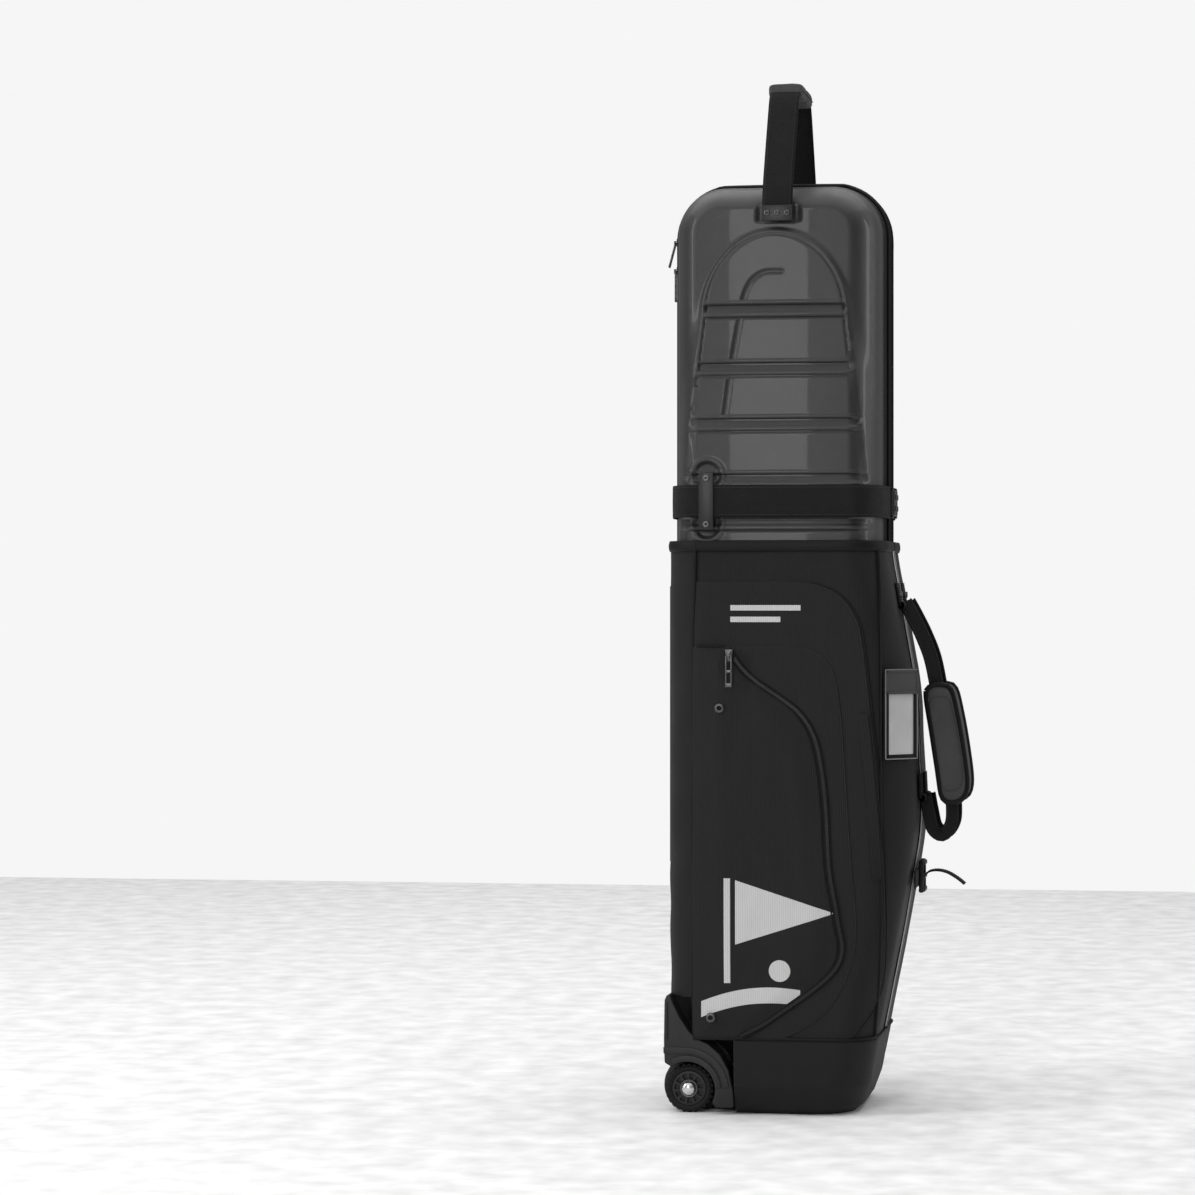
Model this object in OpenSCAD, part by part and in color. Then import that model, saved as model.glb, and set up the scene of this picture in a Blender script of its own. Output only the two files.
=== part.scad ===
// Golf travel case: a hard two-half shell on top of a soft hollow body, standing on two wheels
// and a reinforced boot. Back (wheels) is -X, front (carry handle) is +X, floor is z = 0.

/* [Hard shell] */
// Height of the case from the floor to the top of the shell
case_h = 1300; // [1290:1:1310]
// Height of the line where the shell meets the fabric
rim_z = 796; // [790:1:800]
// Half the depth of the shell, back to front
shell_half_d = 150; // [149:1:152]
// Half the width of the shell, side to side
shell_half_w = 130; // [128:1:131]
// Radius of the shell's top corners at its rim
shell_corner_r = 75; // [70:1:80]
// Wall of the shell moulding
shell_wall = 3; // [2.5:0.1:3.5]
// How far the dished edge runs in from the rim to the flat face
dish = 40; // [36:1:44]
// Thickness of the padded lining
lining_t = 6; // [4:1:8]

/* [Soft body] */
// Wall of the fabric body with its padding
fabric_t = 4; // [3:0.5:5]
// Corner radius of the body in plan
body_corner_r = 55; // [50:1:58]
// Height of the reinforced boot
boot_h = 105; // [104:1:110]
// Thickness of the side pocket
pocket_t = 9; // [7:1:10]

/* [Wheels] */
// Radius of the tyre
wheel_r = 34; // [32:1:34]
// Width of the tyre
wheel_w = 24; // [20:1:26]
// Radius of the axle shank
axle_r = 4; // [3.5:0.5:4]
// Distance of each wheel's middle plane from the centre plane
wheel_y = 98; // [97:1:99]

/* [Webbing] */
// Width of the belt round the shell
belt_w = 45; // [40:1:48]
// Width of the top handle strap
handle_w = 42; // [38:1:44]
// Thickness of the webbing
webbing_t = 2; // [1.5:0.5:2]
// Height of the top handle strap above the shell
handle_rise = 130; // [125:1:135]

/* [Hidden] */
gap = 0.5;                 // clearance between pieces of different bodies
seat = 0.15;               // clearance between pieces sewn or bonded together
running = 0.05;            // radial clearance of a turning fit
zip_half_w = 13;           // half width of the zip tape
rim_y = zip_half_w + 0.2;  // where each shell half starts, off the centre plane
straight_w = 35;           // straight part of the shell's side before the dish
wheel_x = -120;
bearing_r = 11;            // 608 bearing: 22 outside, 8 bore, 7 wide
bearing_w = 7;
hub_r = 24;
well_r = wheel_r + 5;
well_in = 71;              // inner side of each wheel well
well_front = -53;          // front end of each wheel well
well_out = 127;            // outer side of each wheel housing
belt_z = 829;              // lower edge of the belt
handle_x = 8;              // middle of the top handle
slider_z = 1224;          // upper main-zip slider
// Body sections from the floor up: height, back, front, half width
BODY = [[0, -112, 104, 100], [12, -130, 118, 115], [40, -142, 128, 126], [110, -149, 142, 131],
        [400, -150, 196, 134], [590, -149, 187, 133], [795, -150, 150, 130]];

// ---- outlines and shared shapes ----

// Rounded-top outline of the shell in X and Z, inset by t, from height z0 up
function arc(cx, cy, r, a0, a1, n) = [for (i = [0:n]) let (a = a0 + (a1 - a0) * i / n)
    [cx + r * cos(a), cy + r * sin(a)]];
function shell_outline(t, z0) = let (c = shell_half_d - shell_corner_r, r = shell_corner_r - t,
    cz = case_h - shell_corner_r) concat([[-shell_half_d + t, z0]], arc(-c, cz, r, 180, 90, 8),
    arc(c, cz, r, 90, 0, 8), [[shell_half_d - t, z0]]);

// Rounded rectangle in plan, from x0 to x1 and h to either side
function plan(x0, x1, h, r) = concat(arc(x1 - r, h - r, r, 0, 90, 6), arc(x0 + r, h - r, r, 90, 180, 6),
    arc(x0 + r, r - h, r, 180, 270, 6), arc(x1 - r, r - h, r, 270, 360, 6));

// Closed band of thickness t along the points p, as an outline
function unit(v) = v / norm(v);
function side_of(p, i) = let (a = p[max(i - 1, 0)], b = p[min(i + 1, len(p) - 1)], d = unit(b - a)) [-d[1], d[0]];
function band(p, t) = concat([for (i = [0:len(p) - 1]) p[i] + side_of(p, i) * t / 2],
    [for (i = [len(p) - 1:-1:0]) p[i] - side_of(p, i) * t / 2]);

// Slab of an X-Z outline, h thick, from y to y + h
module slab(y, h) translate([0, y + h, 0]) rotate([90, 0, 0]) linear_extrude(h) children();

// Slab of a Y-Z outline, h thick, from x to x + h
module slab_x(x, h) translate([x, 0, 0]) rotate([90, 0, 90]) linear_extrude(h) children();

// Dished block of one shell half on the near side, shrunk by t
module dished(t, y0, z0) {
    depth = shell_half_w - t - straight_w;
    hull() {
        slab(-y0 - 0.1, 0.1) polygon(shell_outline(t, z0));
        for (a = [0:15:90])
            slab(-straight_w - depth * sin(a), 0.1) polygon(shell_outline(t + dish * (1 - cos(a)), z0));
    }
}

// Dished wall between inset t and inset t + wall, open below and at the centre plane
module dished_wall(t, wall, y0, z0) difference() {
    dished(t, y0, z0);
    dished(t + wall, y0 - 1, z0 - 5);
}

// Solid block of the fabric body, shrunk by t
module body_block(t, top) hull() {
    for (s = BODY) translate([0, 0, max(s[0], t)])
        linear_extrude(0.1) polygon(plan(s[1] + t, s[2] - t, s[3] - t, body_corner_r - t));
    translate([0, 0, top]) linear_extrude(0.1)
        polygon(plan(-150 + t, 150 - t, 130 - t, body_corner_r - t));
}

module body_wall() difference() {
    body_block(0, 795.2);
    body_block(fabric_t, 810);
}

// Space kept free for the wheels and their housings
module wheel_wells() for (m = [0, 1]) mirror([0, m, 0]) {
    translate([-170, -160, -10]) cube([170 + well_front, 160 - well_in, 114]);
    translate([-170, -160, 100]) cube([62, 160 - well_in, 70]);
}

module on_far() mirror([0, 1, 0]) children();

// ---- hard shell ----

module shell_near() color([0.07, 0.07, 0.08]) dished_wall(0, shell_wall, rim_y, rim_z);
module shell_far() color([0.07, 0.07, 0.08]) on_far() dished_wall(0, shell_wall, rim_y, rim_z);

// Padded panel bonded inside the flat face of a shell half
lining_y = -shell_half_w + shell_wall + seat;
module lining_half() slab(lining_y, lining_t) polygon(shell_outline(dish + shell_wall + 2, rim_z + 3));
module lining_near() color([0.3, 0.3, 0.32]) lining_half();
module lining_far() color([0.3, 0.3, 0.32]) on_far() lining_half();

// Foam block that holds the club heads, bonded to the far lining
pad_t = 60;
module head_pad() color([0.2, 0.2, 0.22]) slab(-lining_y - lining_t - seat - pad_t, pad_t)
    polygon([[-75, 1150], [75, 1150], [82, 1190], [60, 1230], [-60, 1230], [-82, 1190]]);

module zip_tape_half() difference() {
    slab(-zip_half_w, zip_half_w - gap / 2) polygon(shell_outline(1, rim_z));
    slab(-zip_half_w - 1, zip_half_w + 2) polygon(shell_outline(3.5, rim_z - 5));
}
module zip_tape_near() color([0.6, 0.6, 0.6]) zip_tape_half();
module zip_tape_far() color([0.6, 0.6, 0.6]) on_far() zip_tape_half();

// Straight part of the main zip, down the front of the body
zip_front_path = [[143, 112], [198, 402], [189, 592], [154, 781]];
module zip_front() color([0.6, 0.6, 0.6]) slab(-zip_half_w, 2 * zip_half_w)
    polygon(band([for (p = zip_front_path) [p[0] + 1.6, p[1]]], 2));

// A slider and its pull, drawn with the zip's face towards -Y and the zip running along Z
pin_r = 1.6;
pin_y = -5.8;              // pull pin, out from the slider's back
module slider_shape() difference() {
    union() {
        translate([-5.5, -4.2, -8.5]) cube([11, 4, 17]);
        translate([-1.6, pin_y - 2.6, -3]) cube([3.2, 4.4, 6]);
    }
    translate([0, pin_y, 0]) rotate([0, 90, 0]) cylinder(r = pin_r + running, h = 20, center = true, $fn = 32);
}
module pull_shape(length, tilt) translate([0, pin_y, 0]) rotate([-tilt, 0, 0]) {
    rotate([0, 90, 0]) cylinder(r = pin_r, h = 10, center = true, $fn = 32);
    for (x = [-5, 2]) translate([x, -1, -length]) cube([3, 2, length]);
    translate([-5, -1, -length]) cube([10, 2, length - 5]);
}

slider_x = -shell_half_d - 2;
slider_pitch = 40;         // from the upper slider down to the lower
module on_back(z) translate([slider_x, 0, z]) rotate([0, 0, -90]) children();
module main_slider_upper() color([0.25, 0.25, 0.26]) on_back(slider_z) slider_shape();
module main_slider_lower() color([0.25, 0.25, 0.26]) on_back(slider_z - slider_pitch) slider_shape();
module main_pull_upper() color([0.12, 0.12, 0.13]) on_back(slider_z) pull_shape(36, 15);
module main_pull_lower() color([0.12, 0.12, 0.13]) on_back(slider_z - slider_pitch) pull_shape(44, 0);

// ---- belt ----

module belt_slab() translate([-200, -200, belt_z]) cube([400, 400, belt_w]);
module belt_half() intersection() {
    dished_wall(-webbing_t - seat, webbing_t, gap, rim_z);
    belt_slab();
}
buckle_half = 30;
module buckle_room() translate([shell_half_d - 12, -buckle_half, belt_z - 5]) cube([40, 2 * buckle_half, belt_w + 10]);
module belt_near() color([0.05, 0.05, 0.06]) difference() { belt_half(); buckle_room(); }
module belt_far() color([0.05, 0.05, 0.06]) on_far() difference() { belt_half(); buckle_room(); }

module buckle_block(y0, y1) translate([shell_half_d + seat, y0, belt_z + 1]) cube([10, y1 - y0, belt_w - 2]);
module buckle_socket() color([0.08, 0.08, 0.09]) buckle_block(gap, buckle_half - gap);
module buckle_plug() color([0.08, 0.08, 0.09]) buckle_block(gap - buckle_half, -gap);

keeper_x = -92;
keeper_z = belt_z + belt_w / 2;
keeper_y = -shell_half_w - webbing_t - 2 * seat;
module keeper_half() difference() {
    translate([keeper_x - 10.5, keeper_y - 3, keeper_z - 40]) cube([21, 3, 80]);
    for (s = [-1, 1]) translate([keeper_x, keeper_y + 1, keeper_z + 32 * s])
        rotate([90, 0, 0]) cylinder(r = 2.2, h = 6, $fn = 32);
}
module keeper_screws_half() for (s = [-1, 1]) translate([keeper_x, 0, keeper_z + 32 * s]) {
    translate([0, keeper_y - 3.1, 0]) rotate([90, 0, 0]) cylinder(r = 4.5, h = 1.6, $fn = 32);
    translate([0, -shell_half_w - seat, 0]) rotate([90, 0, 0])
        cylinder(r = 2, h = -keeper_y + 4 - shell_half_w, $fn = 32);
}
module keeper_near() color([0.06, 0.06, 0.07]) keeper_half();
module keeper_far() color([0.06, 0.06, 0.07]) on_far() keeper_half();
module keeper_screws_near() color([0.2, 0.2, 0.2]) keeper_screws_half();
module keeper_screws_far() color([0.2, 0.2, 0.2]) on_far() keeper_screws_half();

// ---- top handle ----

handle_top = case_h + handle_rise;
handle_path = [[-gap, handle_top], [-48, handle_top], [-62, handle_top - 5], [-90, 1372], [-122, 1306],
               [-130.5, 1285], [-134.5, 1262], [-134.5, 1246]];
module handle_strap_half() slab_x(handle_x - handle_w / 2, handle_w) polygon(band(handle_path, 3));
module handle_strap_near() color([0.06, 0.06, 0.07]) handle_strap_half();
module handle_strap_far() color([0.06, 0.06, 0.07]) on_far() handle_strap_half();

module handle_grip_half() difference() {
    translate([handle_x - 25, -56, handle_top - 12]) cube([50, 56 - gap, 25]);
    slab_x(handle_x - handle_w / 2 - seat, handle_w + 2 * seat) polygon(band(handle_path, 3.4));
}
module handle_grip_near() color([0.1, 0.1, 0.11]) handle_grip_half();
module handle_grip_far() color([0.1, 0.1, 0.11]) on_far() handle_grip_half();

plate_y = -136.2;
anchor_xs = [-14, 0, 14];
module anchor_plate_half() difference() {
    translate([handle_x - 22, plate_y - 2.5, 1238]) cube([44, 2.5, 22]);
    for (x = anchor_xs) translate([handle_x + x, plate_y + 1, 1249])
        rotate([90, 0, 0]) cylinder(r = 2.2, h = 6, $fn = 32);
}
module anchor_screws_half() for (x = anchor_xs) translate([handle_x + x, 0, 1249]) {
    translate([0, plate_y - 2.6, 0]) rotate([90, 0, 0]) cylinder(r = 4.5, h = 1.8, $fn = 32);
    translate([0, plate_y - 0.1, 0]) rotate([90, 0, 0]) cylinder(r = 2, h = 2.6, $fn = 32);
}
module anchor_plate_near() color([0.06, 0.06, 0.07]) anchor_plate_half();
module anchor_plate_far() color([0.06, 0.06, 0.07]) on_far() anchor_plate_half();
module anchor_screws_near() color([0.3, 0.3, 0.3]) anchor_screws_half();
module anchor_screws_far() color([0.3, 0.3, 0.3]) on_far() anchor_screws_half();

// ---- soft body ----

seam_back = -109;    // seam between the back gusset and the side panels
seam_front = 128;    // seam between the side panels and the front gusset
module side_panel_half() difference() {
    intersection() {
        body_wall();
        translate([seam_back, -160, boot_h]) cube([seam_front - seam_back, 160, 700]);
    }
    wheel_wells();
}
module side_panel_near() color([0.1, 0.1, 0.1]) side_panel_half();
module side_panel_far() color([0.1, 0.1, 0.1]) on_far() side_panel_half();

module gusset(x0, x1) difference() {
    intersection() {
        body_wall();
        translate([x0, -160, boot_h]) cube([x1 - x0, 320, 700]);
    }
    wheel_wells();
}
module back_gusset() color([0.09, 0.09, 0.09]) gusset(-170, seam_back);
module front_gusset() color([0.09, 0.09, 0.09]) gusset(seam_front, 220);

module boot() color([0.05, 0.05, 0.05]) difference() {
    intersection() {
        body_wall();
        translate([-170, -160, -1]) cube([400, 320, boot_h + 1]);
    }
    wheel_wells();
}

module rim_binding() color([0.04, 0.04, 0.04]) difference() {
    translate([0, 0, 783]) linear_extrude(12) polygon(plan(-153, 155.7, 133.3, body_corner_r + 3));
    translate([0, 0, 780]) linear_extrude(20) polygon(plan(-150.4, 153.2, 130.8, body_corner_r));
}

module base_board() color([0.35, 0.28, 0.2]) difference() {
    translate([0, 0, fabric_t + 1]) linear_extrude(6) polygon(plan(-104, 94, 90, 50));
    for (m = [0, 1]) mirror([0, m, 0]) translate([-170, 1 - 160, 0]) cube([171 + well_front, 160 - well_in, 30]);
}
module back_stiffener() color([0.35, 0.28, 0.2]) translate([-144, -60, boot_h + 10]) cube([3, 120, 660]);

// Strap that holds the golf bag down, anchored on the back stiffener
module inner_strap() color([0.08, 0.08, 0.08]) translate([-140.8, -55, 480]) cube([2, 110, 38]);
module inner_buckle() color([0.06, 0.06, 0.06]) translate([-138.6, -30, 478]) cube([8, 60, 42]);

// ---- pocket and small parts on the near side ----

pocket_y = -134.4;
pocket_outline = [[-88, 120], [-40, 108], [0, 118], [55, 170], [80, 240], [66, 345], [58, 520], [38, 575],
                  [0, 602], [-45, 622], [-70, 652], [-96, 648], [-98, 300]];
module pocket() color([0.11, 0.11, 0.1]) difference() {
    slab(pocket_y - pocket_t, pocket_t) polygon(pocket_outline);
    for (p = eyelet_xz) translate([p[0], pocket_y + 1, p[1]]) rotate([90, 0, 0])
        cylinder(r = 3, h = pocket_t + 3, $fn = 32);
}
eyelet_xz = [[-72, 565], [-84, 137]];
eyelet_y = pocket_y - pocket_t;
module eyelets() color([0.15, 0.14, 0.13]) for (p = eyelet_xz) translate([p[0], eyelet_y - 0.1, p[1]])
    rotate([90, 0, 0]) difference() {
        cylinder(r = 7, h = 1.6, $fn = 48);
        translate([0, 0, -1]) cylinder(r = 3, h = 4, $fn = 32);
    }

module on_pocket_zip() translate([-58, eyelet_y - seat, 638]) children();
module pocket_slider() color([0.15, 0.15, 0.15]) on_pocket_zip() slider_shape();
module pocket_pull() color([0.1, 0.1, 0.1]) on_pocket_zip() pull_shape(44, 0);

// Card window lying on the rounded near front corner
module on_corner(z) translate([192 - body_corner_r, -133 + body_corner_r, z]) rotate([0, 0, -45]) children();
module id_frame() color([0.08, 0.08, 0.08]) on_corner(494) difference() {
    translate([body_corner_r + 1.5, -29, 0]) cube([2.4, 58, 126]);
    translate([body_corner_r + 2.7, -22, 8]) cube([4, 44, 84]);
}
module id_flap() color([0.06, 0.06, 0.06]) on_corner(494) {
    translate([body_corner_r + 4.4, -29, 90]) cube([1.6, 58, 34]);
    translate([body_corner_r + 5.2, 0, 124.8]) rotate([90, 0, 0])
        cylinder(r = 0.9, h = 58, center = true, $fn = 24);
}

// ---- carry handle on the front ----

carry_top = [[172, 706], [178, 690], [196, 665], [210, 632], [218, 595.5]];
carry_low = [[239, 429], [240, 402], [228, 380], [213, 388], [206, 412], [200.5, 434]];
module carry_webbing_half() for (p = [carry_top, carry_low]) slab(-42, 26) polygon(band(p, 3));
module carry_webbing_near() color([0.06, 0.06, 0.06]) carry_webbing_half();
module carry_webbing_far() color([0.06, 0.06, 0.06]) on_far() carry_webbing_half();

// Padded grip wrapped round both webbings
module carry_grip() color([0.13, 0.14, 0.13]) slab(-42, 84)
    polygon([[203, 590], [233, 594], [250, 560], [262, 480], [258, 440], [240, 431], [224, 433], [208, 520]]);

module carry_anchor_half() {
    slab(-50, 34) polygon(band([[163, 738], [168.6, 707]], 3));
    slab(-50, 34) polygon(band([[197.5, 437], [195.9, 470]], 2.5));
}
module carry_anchors() color([0.07, 0.07, 0.07]) { carry_anchor_half(); on_far() carry_anchor_half(); }
module carry_rivets() color([0.3, 0.3, 0.3]) for (y = [-43, -23, 23, 43]) translate([168.6, y, 722])
    rotate([0, 90, 0]) cylinder(r = 4, h = 2.5, $fn = 32);

module compression_strap() color([0.07, 0.07, 0.07]) {
    slab_x(190, 2) translate([-66, 312]) square([132, 25]);
    slab(-12.5, 25) polygon(band([[203, 322], [228, 324], [255, 318]], 2));
}
module ladder_buckle() color([0.08, 0.08, 0.08]) difference() {
    translate([192.3, -19, 302]) cube([9.5, 38, 46]);
    translate([190, -14, 313]) cube([15, 28, 6]);
    translate([190, -14, 331]) cube([15, 28, 6]);
}

// Skid rails that the case lies on
module back_rails() color([0.05, 0.05, 0.05]) for (y = [-45, 45]) translate([-157.5, y - 9, 338])
    cube([7.3, 18, 403]);

// ---- wheels and housings ----

housing_outline = [[-152, 71], [-153, 100], [-151, 166], [-143, 166], [-126, 128], [-110, 103], [-62, 103],
                   [-58, 60], [-55, 10], [-82, 10], [-86, 34]];
module housing_half() difference() {
    slab(-well_out, well_out - well_in - 1) polygon(housing_outline);
    slab(-well_out + 3, 80) difference() {
        offset(delta = -3) polygon(housing_outline);
        translate([wheel_x, wheel_r]) circle(r = well_r + 3, $fn = 64);
    }
    translate([wheel_x, -wheel_y + 22, wheel_r]) rotate([90, 0, 0]) cylinder(r = well_r, h = 80, $fn = 64);
    translate([wheel_x, -50, wheel_r]) rotate([90, 0, 0]) cylinder(r = axle_r + 0.2, h = 40, $fn = 48);
}
module housing_near() color([0.09, 0.09, 0.09]) housing_half();
module housing_far() color([0.09, 0.09, 0.09]) on_far() housing_half();

// A turned piece about the near wheel's axle, from y to y - h
module turned(y, h, r0, r1) translate([wheel_x, y, wheel_r]) rotate([90, 0, 0]) difference() {
    cylinder(r = r1, h = h, $fn = 96);
    translate([0, 0, -1]) cylinder(r = r0, h = h + 2, $fn = 96);
}
tyre_y = wheel_w / 2 - wheel_y;
module tyre_half() turned(tyre_y, wheel_w, hub_r, wheel_r);
module tyre_near() color([0.05, 0.05, 0.05]) tyre_half();
module tyre_far() color([0.05, 0.05, 0.05]) on_far() tyre_half();

module hub_half() {
    turned(tyre_y, wheel_w, bearing_r, hub_r - 0.02);
    turned(tyre_y - bearing_w, wheel_w - 2 * bearing_w, 7, bearing_r + 0.5);
}
module hub_near() color([0.12, 0.12, 0.12]) hub_half();
module hub_far() color([0.12, 0.12, 0.12]) on_far() hub_half();

module bearing_pair() {
    turned(tyre_y, bearing_w - 0.02, axle_r + running, bearing_r - 0.02);
    turned(tyre_y - wheel_w + bearing_w - 0.02, bearing_w - 0.02, axle_r + running, bearing_r - 0.02);
}
module bearings() color([0.6, 0.6, 0.62]) { bearing_pair(); on_far() bearing_pair(); }

// Shank from inside the housing wall out through the wheel, with a domed head and a nut
module axle_bolt() translate([wheel_x, 0, wheel_r]) {
    translate([0, -66, 0]) rotate([90, 0, 0]) cylinder(r = axle_r, h = 45.5, $fn = 48);
    translate([0, -111.4, 0]) rotate([90, 0, 0]) cylinder(r = 10, h = 2, $fn = 48);
    translate([0, -113.4, 0]) rotate([90, 0, 0]) cylinder(r1 = 10, r2 = 5, h = 3, $fn = 48);
    translate([0, -66, 0]) rotate([90, 0, 0]) cylinder(r = 7.5, h = 5, $fn = 6);
}
module axle_bolts() color("silver") { axle_bolt(); on_far() axle_bolt(); }

shell_near();
shell_far();
lining_near();
lining_far();
head_pad();
zip_tape_near();
zip_tape_far();
zip_front();
main_slider_upper();
main_slider_lower();
main_pull_upper();
main_pull_lower();
belt_near();
belt_far();
buckle_socket();
buckle_plug();
keeper_near();
keeper_far();
keeper_screws_near();
keeper_screws_far();
handle_strap_near();
handle_strap_far();
handle_grip_near();
handle_grip_far();
anchor_plate_near();
anchor_plate_far();
anchor_screws_near();
anchor_screws_far();
side_panel_near();
side_panel_far();
back_gusset();
front_gusset();
boot();
rim_binding();
base_board();
back_stiffener();
inner_strap();
inner_buckle();
pocket();
pocket_slider();
pocket_pull();
eyelets();
id_frame();
id_flap();
carry_webbing_near();
carry_webbing_far();
carry_grip();
carry_anchors();
carry_rivets();
compression_strap();
ladder_buckle();
back_rails();
housing_near();
housing_far();
tyre_near();
tyre_far();
hub_near();
hub_far();
bearings();
axle_bolts();
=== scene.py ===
# %% [markdown]
# # A golf travel case
# The frame holds the case's hard pieces and everything that moves. This script gives each piece its
# real surface: a dished shell with pressed ribs, sewn fabric panels, webbing, zips and rubber.
# The helpers come first, then the finishes, then the pieces from the top of the case to the wheels.

# %% Load the frame
import math
import bmesh
import bpy
from mathutils import Matrix, Vector, noise


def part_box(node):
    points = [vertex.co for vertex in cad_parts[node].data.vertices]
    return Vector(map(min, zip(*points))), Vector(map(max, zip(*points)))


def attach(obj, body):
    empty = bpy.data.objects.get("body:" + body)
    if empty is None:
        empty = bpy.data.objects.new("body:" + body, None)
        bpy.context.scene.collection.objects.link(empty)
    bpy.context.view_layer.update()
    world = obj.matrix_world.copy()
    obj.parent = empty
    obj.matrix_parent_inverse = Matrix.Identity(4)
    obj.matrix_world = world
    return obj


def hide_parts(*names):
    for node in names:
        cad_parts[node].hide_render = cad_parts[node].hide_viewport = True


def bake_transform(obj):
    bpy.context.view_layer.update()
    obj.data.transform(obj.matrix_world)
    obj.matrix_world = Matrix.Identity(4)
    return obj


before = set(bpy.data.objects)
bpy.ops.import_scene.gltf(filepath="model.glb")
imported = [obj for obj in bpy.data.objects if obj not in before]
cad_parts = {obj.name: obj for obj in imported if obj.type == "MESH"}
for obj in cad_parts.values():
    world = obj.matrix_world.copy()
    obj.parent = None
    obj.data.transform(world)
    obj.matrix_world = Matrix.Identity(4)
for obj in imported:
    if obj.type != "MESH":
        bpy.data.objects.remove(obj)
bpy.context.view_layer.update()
MM = 0.001


def mm(node):
    """A node's lowest and highest corner in millimetres."""
    low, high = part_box(node)
    return Vector(low) / MM, Vector(high) / MM


# %% [markdown]
# ## The camera, the floor and the light
# The case is seen from its side, level with its middle and turned a little to the front. A soft
# light in front draws the highlight down the shell, one on each side finds its edges, and a very
# large one overhead lights the floor. The backdrop looks pale but adds little light of its own.

# %% Camera, floor and light
TURN = math.radians(8)
DISTANCE = 4.6
EYE_Z = 0.717
VIEW_WIDTH = 1.70
FLOOR_REACH = 3.4
BACKDROP_LIGHT = 0.3


def soft_light(name, place, aim, size, power):
    data = bpy.data.lights.new(name, "AREA")
    data.shape, data.size, data.size_y = "RECTANGLE", size[0], size[1]
    data.energy = power
    lamp = bpy.data.objects.new(name, data)
    lamp.location = place
    lamp.rotation_euler = (Vector(aim) - Vector(place)).to_track_quat("-Z", "Y").to_euler()
    bpy.context.collection.objects.link(lamp)


cam_data = bpy.data.cameras.new("camera")
camera = bpy.data.objects.new("camera", cam_data)
bpy.context.collection.objects.link(camera)
camera.location = (math.sin(TURN) * DISTANCE, -math.cos(TURN) * DISTANCE, EYE_Z)
camera.rotation_euler = (math.radians(90), 0, TURN)
cam_data.sensor_width = 36
cam_data.lens = cam_data.sensor_width * DISTANCE / VIEW_WIDTH
cam_data.shift_x, cam_data.shift_y = -0.1571, 0.0006
bpy.context.scene.camera = camera

floor_mesh = bpy.data.meshes.new("floor")
floor_bm = bmesh.new()
bmesh.ops.create_grid(floor_bm, x_segments=2, y_segments=2, size=FLOOR_REACH)
floor_bm.to_mesh(floor_mesh)
floor = bpy.data.objects.new("floor", floor_mesh)
bpy.context.collection.objects.link(floor)

MIDDLE = (0, 0, 0.7)
soft_light("front", (-0.7, -4.6, 1.7), MIDDLE, (0.8, 2.4), 62)
soft_light("left", (-3.6, -1.9, 1.9), MIDDLE, (0.7, 2.6), 60)
soft_light("right", (3.4, 1.4, 1.5), MIDDLE, (0.4, 2.6), 22)
soft_light("top", (-0.8, 0.4, 4.8), (-0.8, 0.4, 0), (9.0, 9.0), 330)
world = bpy.data.worlds.new("studio")
bpy.context.scene.world = world
world.use_nodes = True
backdrop = world.node_tree.nodes["Background"]
backdrop.inputs["Color"].default_value = (0.92, 0.92, 0.92, 1)
seen = world.node_tree.nodes.new("ShaderNodeLightPath")
level = world.node_tree.nodes.new("ShaderNodeMapRange")
level.inputs["To Min"].default_value, level.inputs["To Max"].default_value = BACKDROP_LIGHT, 1.0
world.node_tree.links.new(seen.outputs["Is Camera Ray"], level.inputs["Value"])
world.node_tree.links.new(level.outputs["Result"], backdrop.inputs["Strength"])
bpy.context.scene.view_settings.view_transform = "Standard"

# %% [markdown]
# ## Writing a finish as arithmetic
# A finish is mostly numbers that change over a surface. One small class wraps a socket, so that
# `1 - mask` adds its Math node by itself; every other node comes from one method.

# %% Shader arithmetic


class Value:
    """A socket that can be added, multiplied and compared like a number."""

    def __init__(self, finish, socket):
        self.finish, self.socket = finish, socket

    def math(self, operation, *others):
        return self.finish.node("ShaderNodeMath", {"operation": operation}, [self, *others])

    def __add__(self, other):
        return self.math("ADD", other)

    def __mul__(self, other):
        return self.math("MULTIPLY", other)

    def __sub__(self, other):
        return self.math("SUBTRACT", other)

    def __rsub__(self, other):
        return self.finish.node("ShaderNodeMath", {"operation": "SUBTRACT"}, [other, self])

    __radd__ = __add__
    __rmul__ = __mul__

    def wave(self, pitch):
        """A smooth wave from 0 to 1 that repeats every pitch."""
        return (self * (2 * math.pi / pitch)).math("SINE") * 0.5 + 0.5

    def between(self, low, high):
        """1 where the value lies between two numbers, 0 elsewhere."""
        return self.math("GREATER_THAN", low) * self.math("LESS_THAN", high)


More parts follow.
